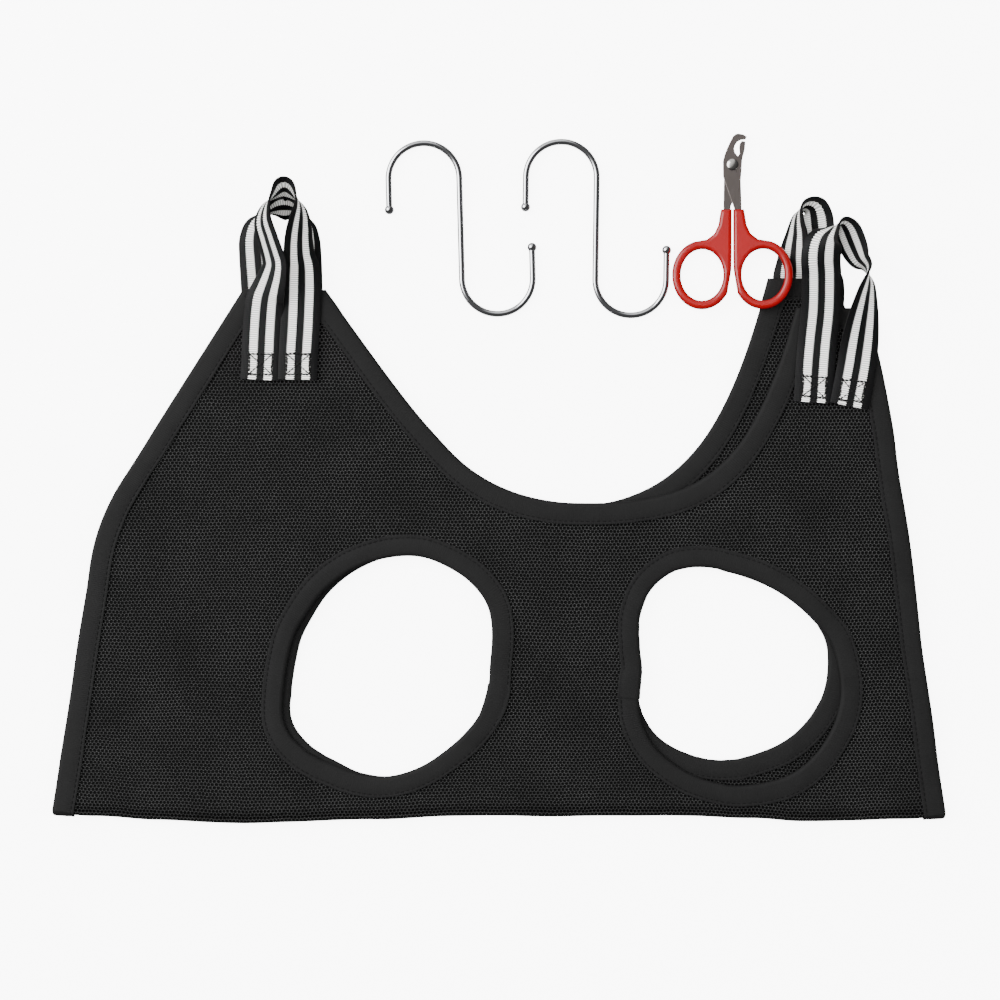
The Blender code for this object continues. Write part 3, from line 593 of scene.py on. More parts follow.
def air_mesh():
    """Black knitted polyester: holes painted near black as shade, yarn painted lighter between them as a
    highlight, and faint large patches a little lighter or darker.
    """
    made, tree, shader = start_material("knitted air mesh", "#2b2b2b", 0.85)
    place = flat_place(tree)
    wander = vector(tree, "SUBTRACT", clouds(tree, place, 0.12, 1.0)["Color"], (0.5, 0.5, 0.5))
    spot = vector(tree, "MULTIPLY_ADD", wander, (1.2, 1.2, 0), place)
    nearest = number(tree, "MINIMUM", grid_distance(tree, spot, (0, 0, 0)),
                     grid_distance(tree, spot, (HOLE_PITCH / 2, HOLE_ROW / 2, 0)))
    yarn = remap(tree, nearest, HOLE_RADIUS - 0.14, HOLE_RADIUS + 0.5, how="SMOOTHSTEP")
    # Noise makes the painted hole shade and yarn highlight uneven from thread to thread.
    uneven_shade_and_highlight = number(tree, "MULTIPLY_ADD", clouds(tree, place, 1.4, 3.0, 0.7)["Fac"], 0.9, -0.45)
    colour = graded(tree, number(tree, "ADD", yarn, uneven_shade_and_highlight), [(at, srgb(code)) for at, code in HOLE_SHADE_YARN_HIGHLIGHT_COLOURS])
    # Faint large patches, a little lighter or darker over the cloth.
    patchy_tone = remap(tree, clouds(tree, place, 0.03, 4.0)["Fac"], 0.3, 0.7, 0.8, 1.25)
    feed(shader, {"Base Color": mixed(tree, 1.0, colour, patchy_tone, how="MULTIPLY"),
                  "Normal": relief(tree, yarn, 0.0005, 0.9), "Specular IOR Level": 0.15})
    return made


cloth = air_mesh()
print("holes per square centimetre", round(100 / (HOLE_PITCH * HOLE_ROW / 2), 1))

# %% Binding tape and thread


def ribbed_tape(name, dark, pale, rib, roughness):
    """Woven tape: fine ribs across it, a soft sheen, and small changes of shade along it."""
    made, tree, shader = start_material(name, dark, roughness)
    place = flat_place(tree)
    waves = {"Vector": place, "Scale": 1 / rib, "Distortion": 0.6, "Detail": 1.0}
    ribs = add(tree, "ShaderNodeTexWave", waves, wave_type="BANDS", bands_direction="Y").outputs["Fac"]
    feed(shader, {"Base Color": mixed(tree, clouds(tree, place, 0.07, 4.0)["Fac"], srgb(dark), srgb(pale)),
                  "Normal": relief(tree, ribs, 0.00008, 0.6), "Specular IOR Level": 0.25})
    print("material", name)
    return made


tape = ribbed_tape("woven binding tape", "#0a0a0a", "#121212", 3.2, 0.75)
# The tape's thread is black, and a little darker than the tape as painted shade in the stitches' dents.
dent_shaded_tape_thread = ribbed_tape("polyester tape thread", "#040404", "#080808", 2.0, 0.9)
box_thread = ribbed_tape("black bonded thread", "#050505", "#0b0b0b", 2.0, 0.45)

# %% [markdown]
# ## Cloth panels
#
# A panel is cut like a pattern: an outline with two holes. A constrained triangulation fills it with
# small, even triangles, so that it can swell and sag, and Solidify gives it the cloth's thickness.
# The panel runs on to the fold's axis, where the rolled strip takes over.

# %% Panels
CLOTH_INSET = 1.6
CLOTH_GRID = 6.0


def inside(point, loop):
    """True where a point in plan is inside a closed loop."""
    result = False
    for a, b in zip(loop, loop[1:] + loop[:1]):
        if (a.y > point.y) != (b.y > point.y):
            if point.x < a.x + (point.y - a.y) / (b.y - a.y) * (b.x - a.x):
                result = not result
    return result


def on_cloth(point, loops):
    """True where a point in plan is inside the first loop and outside the others."""
    return inside(point, loops[0]) and not any(inside(point, hole) for hole in loops[1:])


def panel_loops(plan):
    """The cloth's own edge and holes, a little inside the tape's outer edge."""
    edge = plan["left_edge"][:-1] + plan["neck"] + plan["right_edge"][1:]
    loops = []
    for loop in (edge, plan["left_hole"], plan["right_hole"]):
        loops.append([p - n * CLOTH_INSET for p, n in zip(loop, side_normals(loop, True))])
    loops[0][0].y = FOLD_Y
    loops[0][-1].y = FOLD_Y
    return [spread(loop, CLOTH_GRID, True) for loop in loops]


def cloth_panel(layer):
    """One layer of air mesh."""
    loops = panel_loops(outlines[layer])
    points = []
    edges = []
    for loop in loops:
        first = len(points)
        points += loop
        edges += [(first + i, first + (i + 1) % len(loop)) for i in range(len(loop))]
    row_height = CLOTH_GRID * math.sqrt(3) / 2
    for row in range(1, int((LEFT_EAR[1] + CLOTH_GRID) / row_height)):
        for column in range(int(BELLY_LENGTH / CLOTH_GRID)):
            spot = Vector((LEFT_END + (column + row % 2 / 2) * CLOTH_GRID, FOLD_Y + row * row_height))
            if on_cloth(spot, loops):
                points.append(spot)
    flat, _, triangles, *_ = delaunay_2d_cdt(points, edges, [], 0, 0.001)
    kept = [tuple(t) for t in triangles if on_cloth(sum((flat[i] for i in t), Vector((0, 0))) / 3, loops)]
    level = LEVELS[layer] + BINDING_THICKNESS / 2
    vertices = [lie(Vector((p.x, p.y, level))) for p in flat]
    corners = [[tuple(flat[i]) for i in triangle] for triangle in kept]
    piece = finish_mesh(f"{layer}_cloth", vertices, kept, corners, cloth)
    if piece.data.polygons[0].normal.z < 0:
        piece.data.flip_normals()
    thick = piece.modifiers.new("Thickness", "SOLIDIFY")
    thick.thickness = (MESH_THICKNESS - CLEARANCE) * MM
    thick.offset = 0.0
    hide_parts(f"{layer}_mesh_panel")
    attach(piece, f"hammock_{layer}")


cloth_panel("back")
cloth_panel("front")

# %% [markdown]
# ## The belly fold
#
# At the fold the cloth turns over in a small roll. The strip lies between the two layers and is
# attached to neither of them.

# %% Rolled strip at the fold
FOLD_STEP = 3.0
FOLD_TURN = [math.radians(90 + 180 * k / 16) for k in range(17)]


def round_fold(x, radius, angle):
    """A point of the roll."""
    return lie(Vector((x, FOLD_Y + radius * math.cos(angle), FOLD_LEVEL + radius * math.sin(angle))))


def across_fold(piece):
    """Bake a piece of the roll's place into its mesh. It is attached to neither layer."""
    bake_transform(piece)
    print(piece.name, "bends with the fold")


def rolled_strip():
    """The cloth's half turn round the fold, as thick as the panels."""
    outer = FOLD_RADIUS - CLEARANCE / 2
    inner = outer - MESH_THICKNESS + CLEARANCE
    profile = [(outer, a) for a in FOLD_TURN] + [(inner, a) for a in reversed(FOLD_TURN)]
    across = [FOLD_Y - r * (a - math.pi / 2) for r, a in profile]
    across.append(across[0])
    count = round(BELLY_LENGTH / FOLD_STEP)
    start = LEFT_END + CLOTH_INSET
    end = RIGHT_END - CLOTH_INSET
    along = [start + (end - start) * i / count for i in range(count + 1)]
    rings = [[round_fold(x, r, a) for r, a in profile] for x in along]
    piece = skin("belly_fold_cloth", rings, across, along, cloth, swap=True, smooth_to=60.0)
    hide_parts("belly_fold")
    across_fold(piece)


rolled_strip()

# %% [markdown]
# ## Binding tape
#
# The tape is folded over every raw edge and sewn down near its inner edge. Its cross-section is a
# flat channel with a round outer fold and a shallow groove under the stitches. Where the two ends
# of a leg hole's tape meet, one laps over the other, and the lap shows as a small step. The neck's
# tape runs out to the tips of the ears, over the tape of the end edges.

# %% Tape along the edges
TAPE_STEP = 2.5
GROOVE_FROM_EDGE = 1.6
LAP_LENGTH = 12.0
LAP_START = 16.2
LAP_RISE = 0.45
LAP_PLACES = {"left": 0.94, "right": 0.49}
TIP_RISE = 0.27
PUCKER = 0.08
PUCKER_LENGTH = 4.5
DRIFT = 0.35
DRIFT_LENGTH = 17
DRIFT_START = 9


def tape_profile(rise=0.0):
    """The tape's section, as (distance from the outer fold, height), from the upper inner edge round."""
    w = TAPE_WIDTH
    h = BINDING_THICKNESS
    g = w - GROOVE_FROM_EDGE
    upper = [(w - 0.5, h - 0.9), (w, h - 0.5), (w, h - 0.08), (w - 0.35, h), (g + 0.7, h), (g, h - 0.16),
             (g - 0.7, h), (w * 0.55, h + 0.06), (2.2, h), (1.0, h - 0.22), (0.3, h - 0.75)]
    lower = [(u, h - z) for u, z in reversed(upper)]
    middle = h / 2
    return [(u + (rise if u > w / 2 else -rise), z + (rise if z > middle else -rise)) for u, z in
            upper + [(0.0, middle)] + lower]


TAPE_ACROSS = lengths([Vector(p) for p in tape_profile()], True)


def rim(layer, place, path, lap=False, over=0.0):
    """Tape folded over an edge that lies to the left of the path. Its ends may lie over other tape."""
    level = LEVELS[layer]
    points = spread(path, TAPE_STEP, lap)
    if lap:
        points = points + points[:round(LAP_LENGTH / TAPE_STEP)]
    along = lengths(points)
    rings = []
    for i, (p, n) in enumerate(zip(points, side_normals(points))):
        rise = 0.0
        left = along[-1] - along[i]
        if lap:
            rise = LAP_RISE * min(max((LAP_START - left) / (LAP_START - LAP_LENGTH), 0), 1)
        if over:
            rise = over * (1 - smooth_step(min(along[i], left), TAPE_WIDTH, TAPE_WIDTH * 1.5))
        ripple = noise.noise(Vector((p.x / PUCKER_LENGTH, p.y / PUCKER_LENGTH, level))) * PUCKER
        drift = noise.noise(Vector((p.x / DRIFT_LENGTH, p.y / DRIFT_LENGTH, level + DRIFT_START))) * DRIFT
        ring = []
        for u, z in tape_profile(rise):
            share = u / TAPE_WIDTH
            spot = (p - n * (u + drift * share)).to_3d()
            spot.z = level + z + ripple * share * (1 if z > BINDING_THICKNESS / 2 else -1)
            ring.append(lie(spot))
        rings.append(ring)
    piece = skin(f"{layer}_{place}_tape", rings, TAPE_ACROSS, along, tape, smooth_to=55.0)
    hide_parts(f"{layer}_{place}_binding")
    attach(piece, f"hammock_{layer}")
    print(piece.name, "length in mm", round(along[-1]))


def tapes(layer):
    """All five tapes of one layer."""
    plan = outlines[layer]
    rim(layer, "neck", plan["neck"], over=TIP_RISE)
    rim(layer, "left_end", plan["left_edge"])
    rim(layer, "right_end", plan["right_edge"])
    for side, start in LAP_PLACES.items():
        loop = plan[f"{side}_hole"]
        first = round(start * len(loop))
        rim(layer, f"{side}_leg", loop[first:] + loop[:first], lap=True)


def fold_tape(side):
    """The end tape's half turn round the fold."""
    sign, end = (1, LEFT_END) if side == "left" else (-1, RIGHT_END)
    base = CLEARANCE / 2
    rings = [[round_fold(end + sign * u, base + z, a) for u, z in tape_profile()] for a in FOLD_TURN]
    along = [FOLD_RADIUS * (a - math.pi / 2) for a in FOLD_TURN]
    piece = skin(f"{side}_fold_tape", rings, TAPE_ACROSS, along, tape, smooth_to=55.0)
    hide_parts(f"{side}_fold_binding")
    across_fold(piece)


tapes("back")
tapes("front")
fold_tape("left")
fold_tape("right")

# %% [markdown]
# ## Webbing
#
# The straps are polypropylene webbing, 20 mm wide, with five woven stripes and ribs across it. Each
# strap is one ribbon: a tail sewn on the ear, the free loop, and the other tail. It is a section
# carried along a smooth route. Its width turns from flat to standing on edge at the arch, and further
# where a loop has rolled over and shows its inner side. The ribs are real: every other ring of the
# section is a little thinner.

# %% Webbing finish
RIB = 1.1
STRIPES = [(i / 5, srgb("#faf9f6" if i % 2 else "#0b0b0c")) for i in range(5)]


def striped_webbing():
    """Woven polypropylene: black and white warp in five equal stripes, and a rib for every weft, painted
    darker in its trough and lighter on its crest as shade and highlight.
    """
    made, tree, shader = start_material("striped polypropylene webbing", "#808080", 0.6)
    place = flat_place(tree)
    parts = add(tree, "ShaderNodeSeparateXYZ", {"Vector": place}).outputs
    rib = number(tree, "SINE", number(tree, "MULTIPLY", parts["Y"], 2 * math.pi / RIB))
    jagged = number(tree, "MULTIPLY_ADD", rib, 0.3, parts["X"])
    stripes = graded(tree, number(tree, "DIVIDE", jagged, WEBBING_WIDTH), STRIPES, how="CONSTANT")
    # Painted shade and highlight of the ribs: darker in each trough, a little lighter on each crest.
    shade = remap(tree, rib, -1.0, 1.0, 0.38, 1.1)
    waves = {"Vector": place, "Scale": 0.45, "Distortion": 1.2, "Detail": 2.0}
    warp = add(tree, "ShaderNodeTexWave", waves, wave_type="BANDS", bands_direction="X").outputs["Fac"]
    feed(shader, {"Base Color": mixed(tree, 1.0, stripes, shade, how="MULTIPLY"),
                  "Normal": relief(tree, warp, 0.0001, 0.5), "Specular IOR Level": 0.2})
    print("stripes of the webbing", len(STRIPES))
    return made


webbing = striped_webbing()

# %% Routes of the straps: across, along, height above the tail, turn of the width
STRAPS = {
    ("front", "left"): [
        (-12.0, -13.8, 0, 0), (-11.6, -7, 0, 0), (-11.3, 0, 0, 0), (-10.7, 12.7, 0.2, 1),
        (-9.4, 25.3, 2.2, 8), (-7.5, 31.5, 4.6, 25), (-5.3, 37.7, 6.8, 37), (-3.9, 43.8, 8.8, 48),
        (-5.0, 49.5, 10.0, 54), (-7.2, 57.0, 11.4, 57), (-9.4, 65.6, 13.0, 61), (-7.6, 73.4, 14.6, 75),
        (-3.4, 78.4, 15.4, 96), (2.0, 81.6, 15.6, 121), (7.6, 76.8, 15.4, 94), (9.3, 72.5, 15.0, 78),
        (9.5, 68.0, 14.0, 66), (9.1, 62.5, 12.4, 56), (8.6, 56.2, 10.8, 49), (8.7, 49.0, 8.8, 41),
        (9.4, 43.0, 6.3, 26), (9.4, 34.0, 3.2, 9), (9.1, 25.3, 1.5, 5), (8.5, 12.7, 0.8, 4),
        (7.7, 0, 0.75, 4), (7.4, -7, 0.75, 4), (7.3, -13.8, 0.75, 4)],
    ("back", "left"): [
        (-10.8, -13.8, 0, 0), (-10.8, -7, 0, 0), (-10.8, 0, 0, 0), (-11.2, 10, 0, 0), (-11.8, 22, 0, 0),
        (-12.4, 33, 0, 0), (-12.9, 41, 1.2, 6), (-13.5, 50, 2.8, 12), (-13.7, 58, 4.8, 20),
        (-12.0, 65.5, 7.6, 44), (-7.0, 72.2, 8.65, 98), (0.4, 74.2, 8.65, 127), (7.2, 72.2, 8.65, 98),
        (9.6, 65.5, 7.6, 56), (9.6, 58, 5.8, 32), (9.4, 49, 3.6, 18), (9.3, 41, 1.4, 6), (9.4, 33, 0, 0),
        (9.6, 22, 0, 0), (9.8, 8, 0, 0), (10, 0, 0, 0), (10, -7, 0, 0), (10, -13.8, 0, 0)],
    ("front", "right"): [
        (-9.6, -13.8, 0, 0), (-9.9, -7, 0, 0), (-10.2, 0, 0, 0), (-10.5, 7.0, 0.0, 0), (-10.7, 18.0, 0.4, 0),
        (-11.0, 33.5, 3.2, 0), (-13.0, 50.0, 8.0, 1), (-14.5, 57.0, 11.4, 4), (-14.9, 63.0, 14.0, 16),
        (-14.0, 68.0, 15.4, 38), (-11.9, 71.4, 16.2, 66), (-9.0, 74.8, 16.6, 88), (-6.0, 76.0, 16.4, 107),
        (-3.4, 73.0, 15.8, 124), (0.4, 66.2, 14.8, 126), (4.4, 60.0, 13.6, 115), (8.9, 56.2, 12.2, 96),
        (10.6, 49.5, 10.4, 68), (10.7, 41.2, 8.4, 50), (10.6, 28.3, 4.8, 28), (10.5, 15.4, 2.0, 10),
        (10.3, 7.0, 0.9, 5), (9.8, 0, 0.75, 4), (9.2, -7, 0.75, 4), (8.6, -13.8, 0.75, 4)],
    ("back", "right"): [
        (-10.4, -13.8, 0, 0), (-10.4, -7, 0, 0), (-10.2, 0, 0, 0), (-9.0, 14, 0, 0), (-7.4, 26, 0, 0),
        (-7.0, 34, 0.4, 4), (-7.2, 40, 2.0, 22), (-7.6, 45, 4.0, 40), (-7.6, 51, 6.0, 52),
        (-7.4, 57, 8.0, 62), (-7.6, 62.6, 9.0, 74), (-7.2, 67.4, 9.8, 84), (-5.6, 70.6, 10.2, 97),
        (-2.9, 71.7, 10.8, 110), (-0.2, 70.1, 11.2, 133), (1.0, 66.4, 10.8, 150), (1.8, 62.0, 10.2, 156),
        (2.8, 57.0, 9.4, 148), (4.0, 51.5, 8.0, 120), (5.8, 46.5, 6.2, 86), (7.6, 42.0, 4.2, 52),
        (9.0, 37, 1.8, 22), (10.0, 32, 0.4, 4), (10.4, 25, 0, 0), (10.4, 11, 0, 0), (10.4, 0, 0, 0),
        (10.4, -7, 0, 0), (10.4, -13.8, 0, 0)],
}

# %% Straps
EAR_CUT = {"left": 32.1, "right": 35.7}
RIB_DEPTH = 0.07
ROUTE_STEPS = 10


def ear_frame(layer, side):
    """Where a strap's own frame is: between its tails, at the upper row of its stitches."""
    plan = outlines[layer]
    middle = (plan[f"{side}_outer"] + plan[f"{side}_inner"]) / 2
    if side == "left":
        return Matrix.Translation((middle.x, middle.y + LAYERS[layer]["inset"] - EAR_CUT[side], 0))
    turn = Matrix.Rotation(math.radians(LAYERS[layer]["strap_turn"]), 4, "Z")
    start = Matrix.Translation((middle.x + LAYERS[layer]["strap_shift"], middle.y, 0))
    return start @ turn @ Matrix.Translation((0, -EAR_CUT[side], 0))


def strap_route(points):
    """The whole ribbon's line: one tail, the loop, the other tail, with a point at every half rib."""
    rough = spline([Vector(p) for p in points], ROUTE_STEPS)
    along = lengths([p.xyz for p in rough])
    count = round(along[-1] / (RIB / 2))
    result = []
    k = 0
    for i in range(count + 1):
        target = along[-1] * i / count
        while k < len(along) - 2 and along[k + 1] < target:
            k += 1
        t = (target - along[k]) / max(along[k + 1] - along[k], 1e-6)
        result.append(rough[k].lerp(rough[k + 1], min(max(t, 0), 1)))
    return result


def webbing_profile(thin):
    """The webbing's section: rounded selvedges, and a thickness that the ribs change."""
    half = WEBBING_WIDTH / 2
    t = WEBBING_THICKNESS / 2 - thin
    upper = [(-half, t * 0.45)] + [(s, t) for s in (-9.5, -6.0, -2.0, 2.0, 6.0, 9.5)] + [(half, t * 0.45)]
    return [(-half, -t * 0.45)] + upper + [(s, -z) for s, z in reversed(upper[1:])]


def strap(layer, side):
    """One ribbon of webbing, in one piece from tail to tail, attached to no body."""
    own_frame = ear_frame(layer, side)
    level = FRONT_TAIL_LEVEL if layer == "front" else 0.0
    route = strap_route(STRAPS[layer, side])
    line = [p.xyz for p in route]
    up = Vector((0, 0, 1))
    rings = []
    for i, point in enumerate(route):
        forward = heading(line, i)
        turn = math.radians(max(point.w, 0))
        width = forward.cross(up).normalized() * math.cos(turn) + up * math.sin(turn)
        thick = width.cross(forward).normalized()
        rise = abs(width.z) * WEBBING_WIDTH / 2 + abs(thick.z) * WEBBING_THICKNESS / 2
        centre = Vector((point.x, point.y, level + max(point.z, 0) + WEBBING_THICKNESS / 2))
        centre.z = max(centre.z, rise)
        section = webbing_profile(RIB_DEPTH if i % 2 else 0.0)
        rings.append([own_frame @ (centre + width * s + thick * t) for s, t in section])
    across = [s + WEBBING_WIDTH / 2 for s, _ in webbing_profile(0)]
    across.append(across[0])
    along = lengths(line)
    piece = skin(f"{layer}_{side}_webbing", rings, across, along, webbing, smooth_to=50.0)
    name = f"{layer}_{side}_strap"
    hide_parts(f"{name}_loop", f"{name}_tail_a", f"{name}_tail_b")
    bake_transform(piece)
    print(piece.name, "length in mm", round(along[-1]), "ribs", len(route) // 2)


for layer in LAYERS:
    for side in EAR_CUT:
        strap(layer, side)

# %% [markdown]
# ## Stitches
#
# A seam is one small shape, repeated along a line at the stitch length. That is what Geometry Nodes
# do best: a curve is resampled, and a short thread lies on each point along the curve. One tree
# serves both the fine seam of the tape and the heavy box stitch of the straps.

# %% Stitch tree


def stitch_tree():
    """Threads along every edge of a mesh of lines."""
    tree = bpy.data.node_groups.new("stitches along lines", "GeometryNodeTree")
    for name, kind in (("Geometry", "Geometry"), ("Stitch pitch", "Float"), ("Thread length", "Float"),
                       ("Thread radius", "Float"), ("Thread", "Material")):
        tree.interface.new_socket(name, in_out="INPUT", socket_type="NodeSocket" + kind)
    tree.interface.new_socket("Geometry", in_out="OUTPUT", socket_type="NodeSocketGeometry")
    start = add(tree, "NodeGroupInput").outputs
    curve = add(tree, "GeometryNodeMeshToCurve", {"Mesh": start["Geometry"]}).outputs[0]
    points = add(tree, "GeometryNodeResampleCurve", {"Curve": curve, "Length": start["Stitch pitch"]},
                 mode="LENGTH").outputs[0]
    ball = add(tree, "GeometryNodeMeshUVSphere", {"Segments": 6, "Rings": 4, "Radius": 1.0}).outputs["Mesh"]
    shape = add(tree, "ShaderNodeCombineXYZ", {
        "X": start["Thread radius"], "Y": start["Thread radius"],
        "Z": number(tree, "MULTIPLY", start["Thread length"], 0.5)}).outputs[0]
    thread = add(tree, "GeometryNodeTransform", {"Geometry": ball, "Scale": shape}).outputs[0]
    tangent = add(tree, "GeometryNodeInputTangent").outputs[0]
    turn = add(tree, "FunctionNodeAlignRotationToVector", {"Vector": tangent}, axis="Z").outputs[0]
    vary = add(tree, "FunctionNodeRandomValue", {0: (0.8, 0.8, 0.85), 1: (1.2, 1.2, 1.1), "Seed": 7},
               data_type="FLOAT_VECTOR").outputs[0]
    placed = add(tree, "GeometryNodeInstanceOnPoints", {
        "Points": points, "Instance": thread, "Rotation": turn, "Scale": vary}).outputs[0]
    real = add(tree, "GeometryNodeRealizeInstances", {"Geometry": placed}).outputs[0]
    painted = add(tree, "GeometryNodeSetMaterial", {"Geometry": real, "Material": start["Thread"]}).outputs[0]
    smooth = add(tree, "GeometryNodeSetShadeSmooth", {"Geometry": painted}).outputs[0]
    add(tree, "NodeGroupOutput", {"Geometry": smooth})
    return tree


stitches = stitch_tree()


def sew(name, lines, pitch, length, radius, finish):
    """A plain mesh of threads along lines of points in millimetres."""
    vertices = []
    edges = []
    for line in lines:
        first = len(vertices)
        vertices += [p * MM for p in line]
        edges += [(first + i, first + i + 1) for i in range(len(line) - 1)]
    mesh = bpy.data.meshes.new(name + "_lines")
    mesh.from_pydata(vertices, edges, [])
    guide = new_object(name + "_lines", mesh)
    modifier = guide.modifiers.new("Stitches", "NODES")
    modifier.node_group = stitches
    values = {"Stitch pitch": pitch * MM, "Thread length": length * MM, "Thread radius": radius * MM,
              "Thread": finish}
    for item in stitches.interface.items_tree:
        if item.in_out == "INPUT" and item.name in values:
            modifier[item.identifier] = values[item.name]
    piece = new_object(name, baked(guide, name))
    print(name, "faces", len(piece.data.polygons))
    return piece


# %% Seams of the tape
SEAM_PITCH = 2.8
SEAM_THREAD = (2.2, 0.24)
SEAM_STEP = 1.2
SEAM_DEPTH = 0.05


def neck_between(plan):
    """The part of the neck's path that lies between the two ears' end tapes."""
    room = TAPE_WIDTH * 0.8
    low_left = plan["left_inner"].y - room
    low_right = plan["right_inner"].y - room
    half = len(plan["neck"]) // 2
    return [p for i, p in enumerate(plan["neck"]) if p.y < (low_left if i < half else low_right)]


def seam_line(path, closed, level, top):
    """The line of a tape's seam on its upper or lower face."""
    points = spread(path, SEAM_STEP, closed)
    u = TAPE_WIDTH - GROOVE_FROM_EDGE
    up = Vector((0, 0, level + (BINDING_THICKNESS - SEAM_DEPTH if top else SEAM_DEPTH)))
    line = [lie((p - n * u).to_3d() + up) for p, n in zip(points, side_normals(points, closed))]
    return line + [line[0]] if closed else line


def tape_seams(layer):
    """The seams of all of a layer's tapes, on both faces."""
    plan = outlines[layer]
    paths = [(neck_between(plan), False), (plan["left_edge"], False), (plan["right_edge"], False),
             (plan["left_hole"], True), (plan["right_hole"], True)]
    lines = [seam_line(path, closed, LEVELS[layer], top) for path, closed in paths for top in (True, False)]
    piece = sew(f"{layer}_tape_stitches", lines, SEAM_PITCH, *SEAM_THREAD, dent_shaded_tape_thread)
    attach(piece, f"hammock_{layer}")


tape_seams("back")
tape_seams("front")

# %% Box stitches of the straps
BOX_PITCH = 1.9
BOX_THREAD = (2.1, 0.38)
BOX_STEPS = 6
BOX_SECOND_ROUND = 0.07
BOX_SHAKE = 0.35
BOX_SHAKE_PACE = 0.9


def box_lines(middle):
    """A square with a cross in it, sewn round twice: (across, along) from the middle of a strap."""
    half = STITCH_BOX[0] / 2
    top = -STITCH_TOP
    foot = top - STITCH_BOX[1]
    corners = [Vector(p) for p in ((-half, top), (half, top), (half, foot), (-half, foot))]
    a, b, c, d = corners
    inner = [p.lerp((a + c) / 2, BOX_SECOND_ROUND) for p in corners]
    lines = []
    for line in ([a, b, c, d, a], [a, c], [b, d], inner + inner[:1]):
        fine = [p.lerp(q, i / BOX_STEPS) for p, q in zip(line, line[1:]) for i in range(BOX_STEPS)]
        shaken = []
        for p in fine + [line[-1]]:
            spot = Vector((p.x * BOX_SHAKE_PACE + middle, p.y * BOX_SHAKE_PACE, middle))
            shaken.append(p + noise.noise_vector(spot).xy * BOX_SHAKE)
        lines.append(shaken)
    return lines


def box_stitches(layer, side):
    """The two box stitches of one strap, on the webbing's outer face."""
    own_frame = ear_frame(layer, side)
    points = [Vector(p) for p in STRAPS[layer, side]]
    top = BOX_THREAD[1] / 2
    if layer == "front":
        top = FRONT_TAIL_LEVEL + WEBBING_THICKNESS + SEAM_DEPTH
    for word, end, start, raised in (("a", points[0], points[2], 1), ("b", points[-1], points[-3], -1)):
        lines = []
        for line in box_lines(start.x):
            spots = []
            for p in line:
                centre = start.lerp(end, -p.y / TAIL_LENGTH)
                lean = math.radians(centre.w) * raised
                z = top + centre.z + p.x * math.sin(lean)
                spots.append(own_frame @ Vector((centre.x + p.x * math.cos(lean), p.y, z)))
            lines.append(spots)
        piece = sew(f"{layer}_{side}_box_{word}", lines, BOX_PITCH, *BOX_THREAD, box_thread)
        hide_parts(f"{layer}_{side}_strap_stitch_{word}")
        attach(piece, f"hammock_{layer}")


for layer in LAYERS:
    for side in EAR_CUT:
        box_stitches(layer, side)

# %% [markdown]
# ## S-hooks
#
# The hooks are bent from chromed steel wire, with a ball on each end so that the webbing isn't cut.
# A round section carried along two half circles and a shank gives the wire, and the balls are
# turned shapes. Chrome has no colour of its own: the studio's dark walls draw its lines.

# %% Chrome and steel


def polished_metal(name, colour, roughness, grain, stretch):
    """A bright metal with fine marks: almost none on chrome, long ones on ground steel."""
    made, tree, shader = start_material(name, colour, roughness, 1.0)
    place = add(tree, "ShaderNodeTexCoord").outputs["Object"]
    turned = add(tree, "ShaderNodeMapping", {"Vector": place, "Scale": stretch}).outputs[0]
    marks = clouds(tree, turned, grain, 3.0)["Fac"]
    feed(shader, {"Roughness": remap(tree, marks, 0.0, 1.0, roughness * 0.7, roughness * 1.4),
                  "Normal": relief(tree, marks, 0.00002, 0.25)})
    print("material", name)
    return made


chrome = polished_metal("chrome plated wire", "#d9dadd", 0.07, 400.0, (1, 1, 1))
steel = polished_metal("satin ground steel", "#6c6562", 0.3, 500.0, (4.0, 0.3, 1.0))
rivet_steel = polished_metal("polished rivet steel", "#c4c1bd", 0.14, 500.0, (1, 1, 1))

# %% S-hooks
HOOK_WIRE = 3.0
HOOK_BALL = 4.6
HOOK_BEND = 18.1
HOOK_SHANK = 52.0
HOOK_LEG = 15.5
HOOKS = {"hook_1": (-19.6, 1.5), "hook_2": (49.6, -0.8)}
HOOK_HEIGHT_FROM_FOLD = 304.5
BEND_STEPS = 36
WIRE_SIDES = 20
BALL_SIDES = 24
BALL_ROWS = 16


def hook_line():
    """The hook's centreline in its own plane, from the upper ball round to the lower one."""
    bend = HOOK_BEND
    half = HOOK_SHANK / 2
    route = [Vector((-2 * bend, half - HOOK_LEG, 0))]
    for sign in (-1, 1):
        for step in range(BEND_STEPS + 1):
            angle = math.pi + sign * math.pi * step / BEND_STEPS
            spot = Vector((math.cos(angle), math.sin(angle), 0)) * bend
            route.append(spot + Vector((bend, -half, 0)) * sign)
    route.append(Vector((2 * bend, -half + HOOK_LEG, 0)))
    return route


def round_ball(name, centre, radius, finish):
    """A ball of smooth rows, closed at both poles."""
    sides = BALL_SIDES
    vertices = [centre + Vector((0, 0, radius))]
    for row in range(1, BALL_ROWS):
        polar = math.pi * row / BALL_ROWS
        vertices += [centre + Vector((math.sin(polar) * c, math.sin(polar) * s, math.cos(polar))) * radius
                     for c, s in circle(sides)]
    vertices.append(centre - Vector((0, 0, radius)))
    faces = [(0, 1 + k, 1 + (k + 1) % sides) for k in range(sides)]
    for row in range(BALL_ROWS - 2):
        low = 1 + row * sides
        for k in range(sides):
            n = (k + 1) % sides
            faces.append((low + k, low + sides + k, low + sides + n, low + n))
    last = 1 + (BALL_ROWS - 2) * sides
    faces += [(len(vertices) - 1, last + (k + 1) % sides, last + k) for k in range(sides)]
    return finish_mesh(name, vertices, faces, [[(0, 0)] * len(f) for f in faces], finish, 80.0)


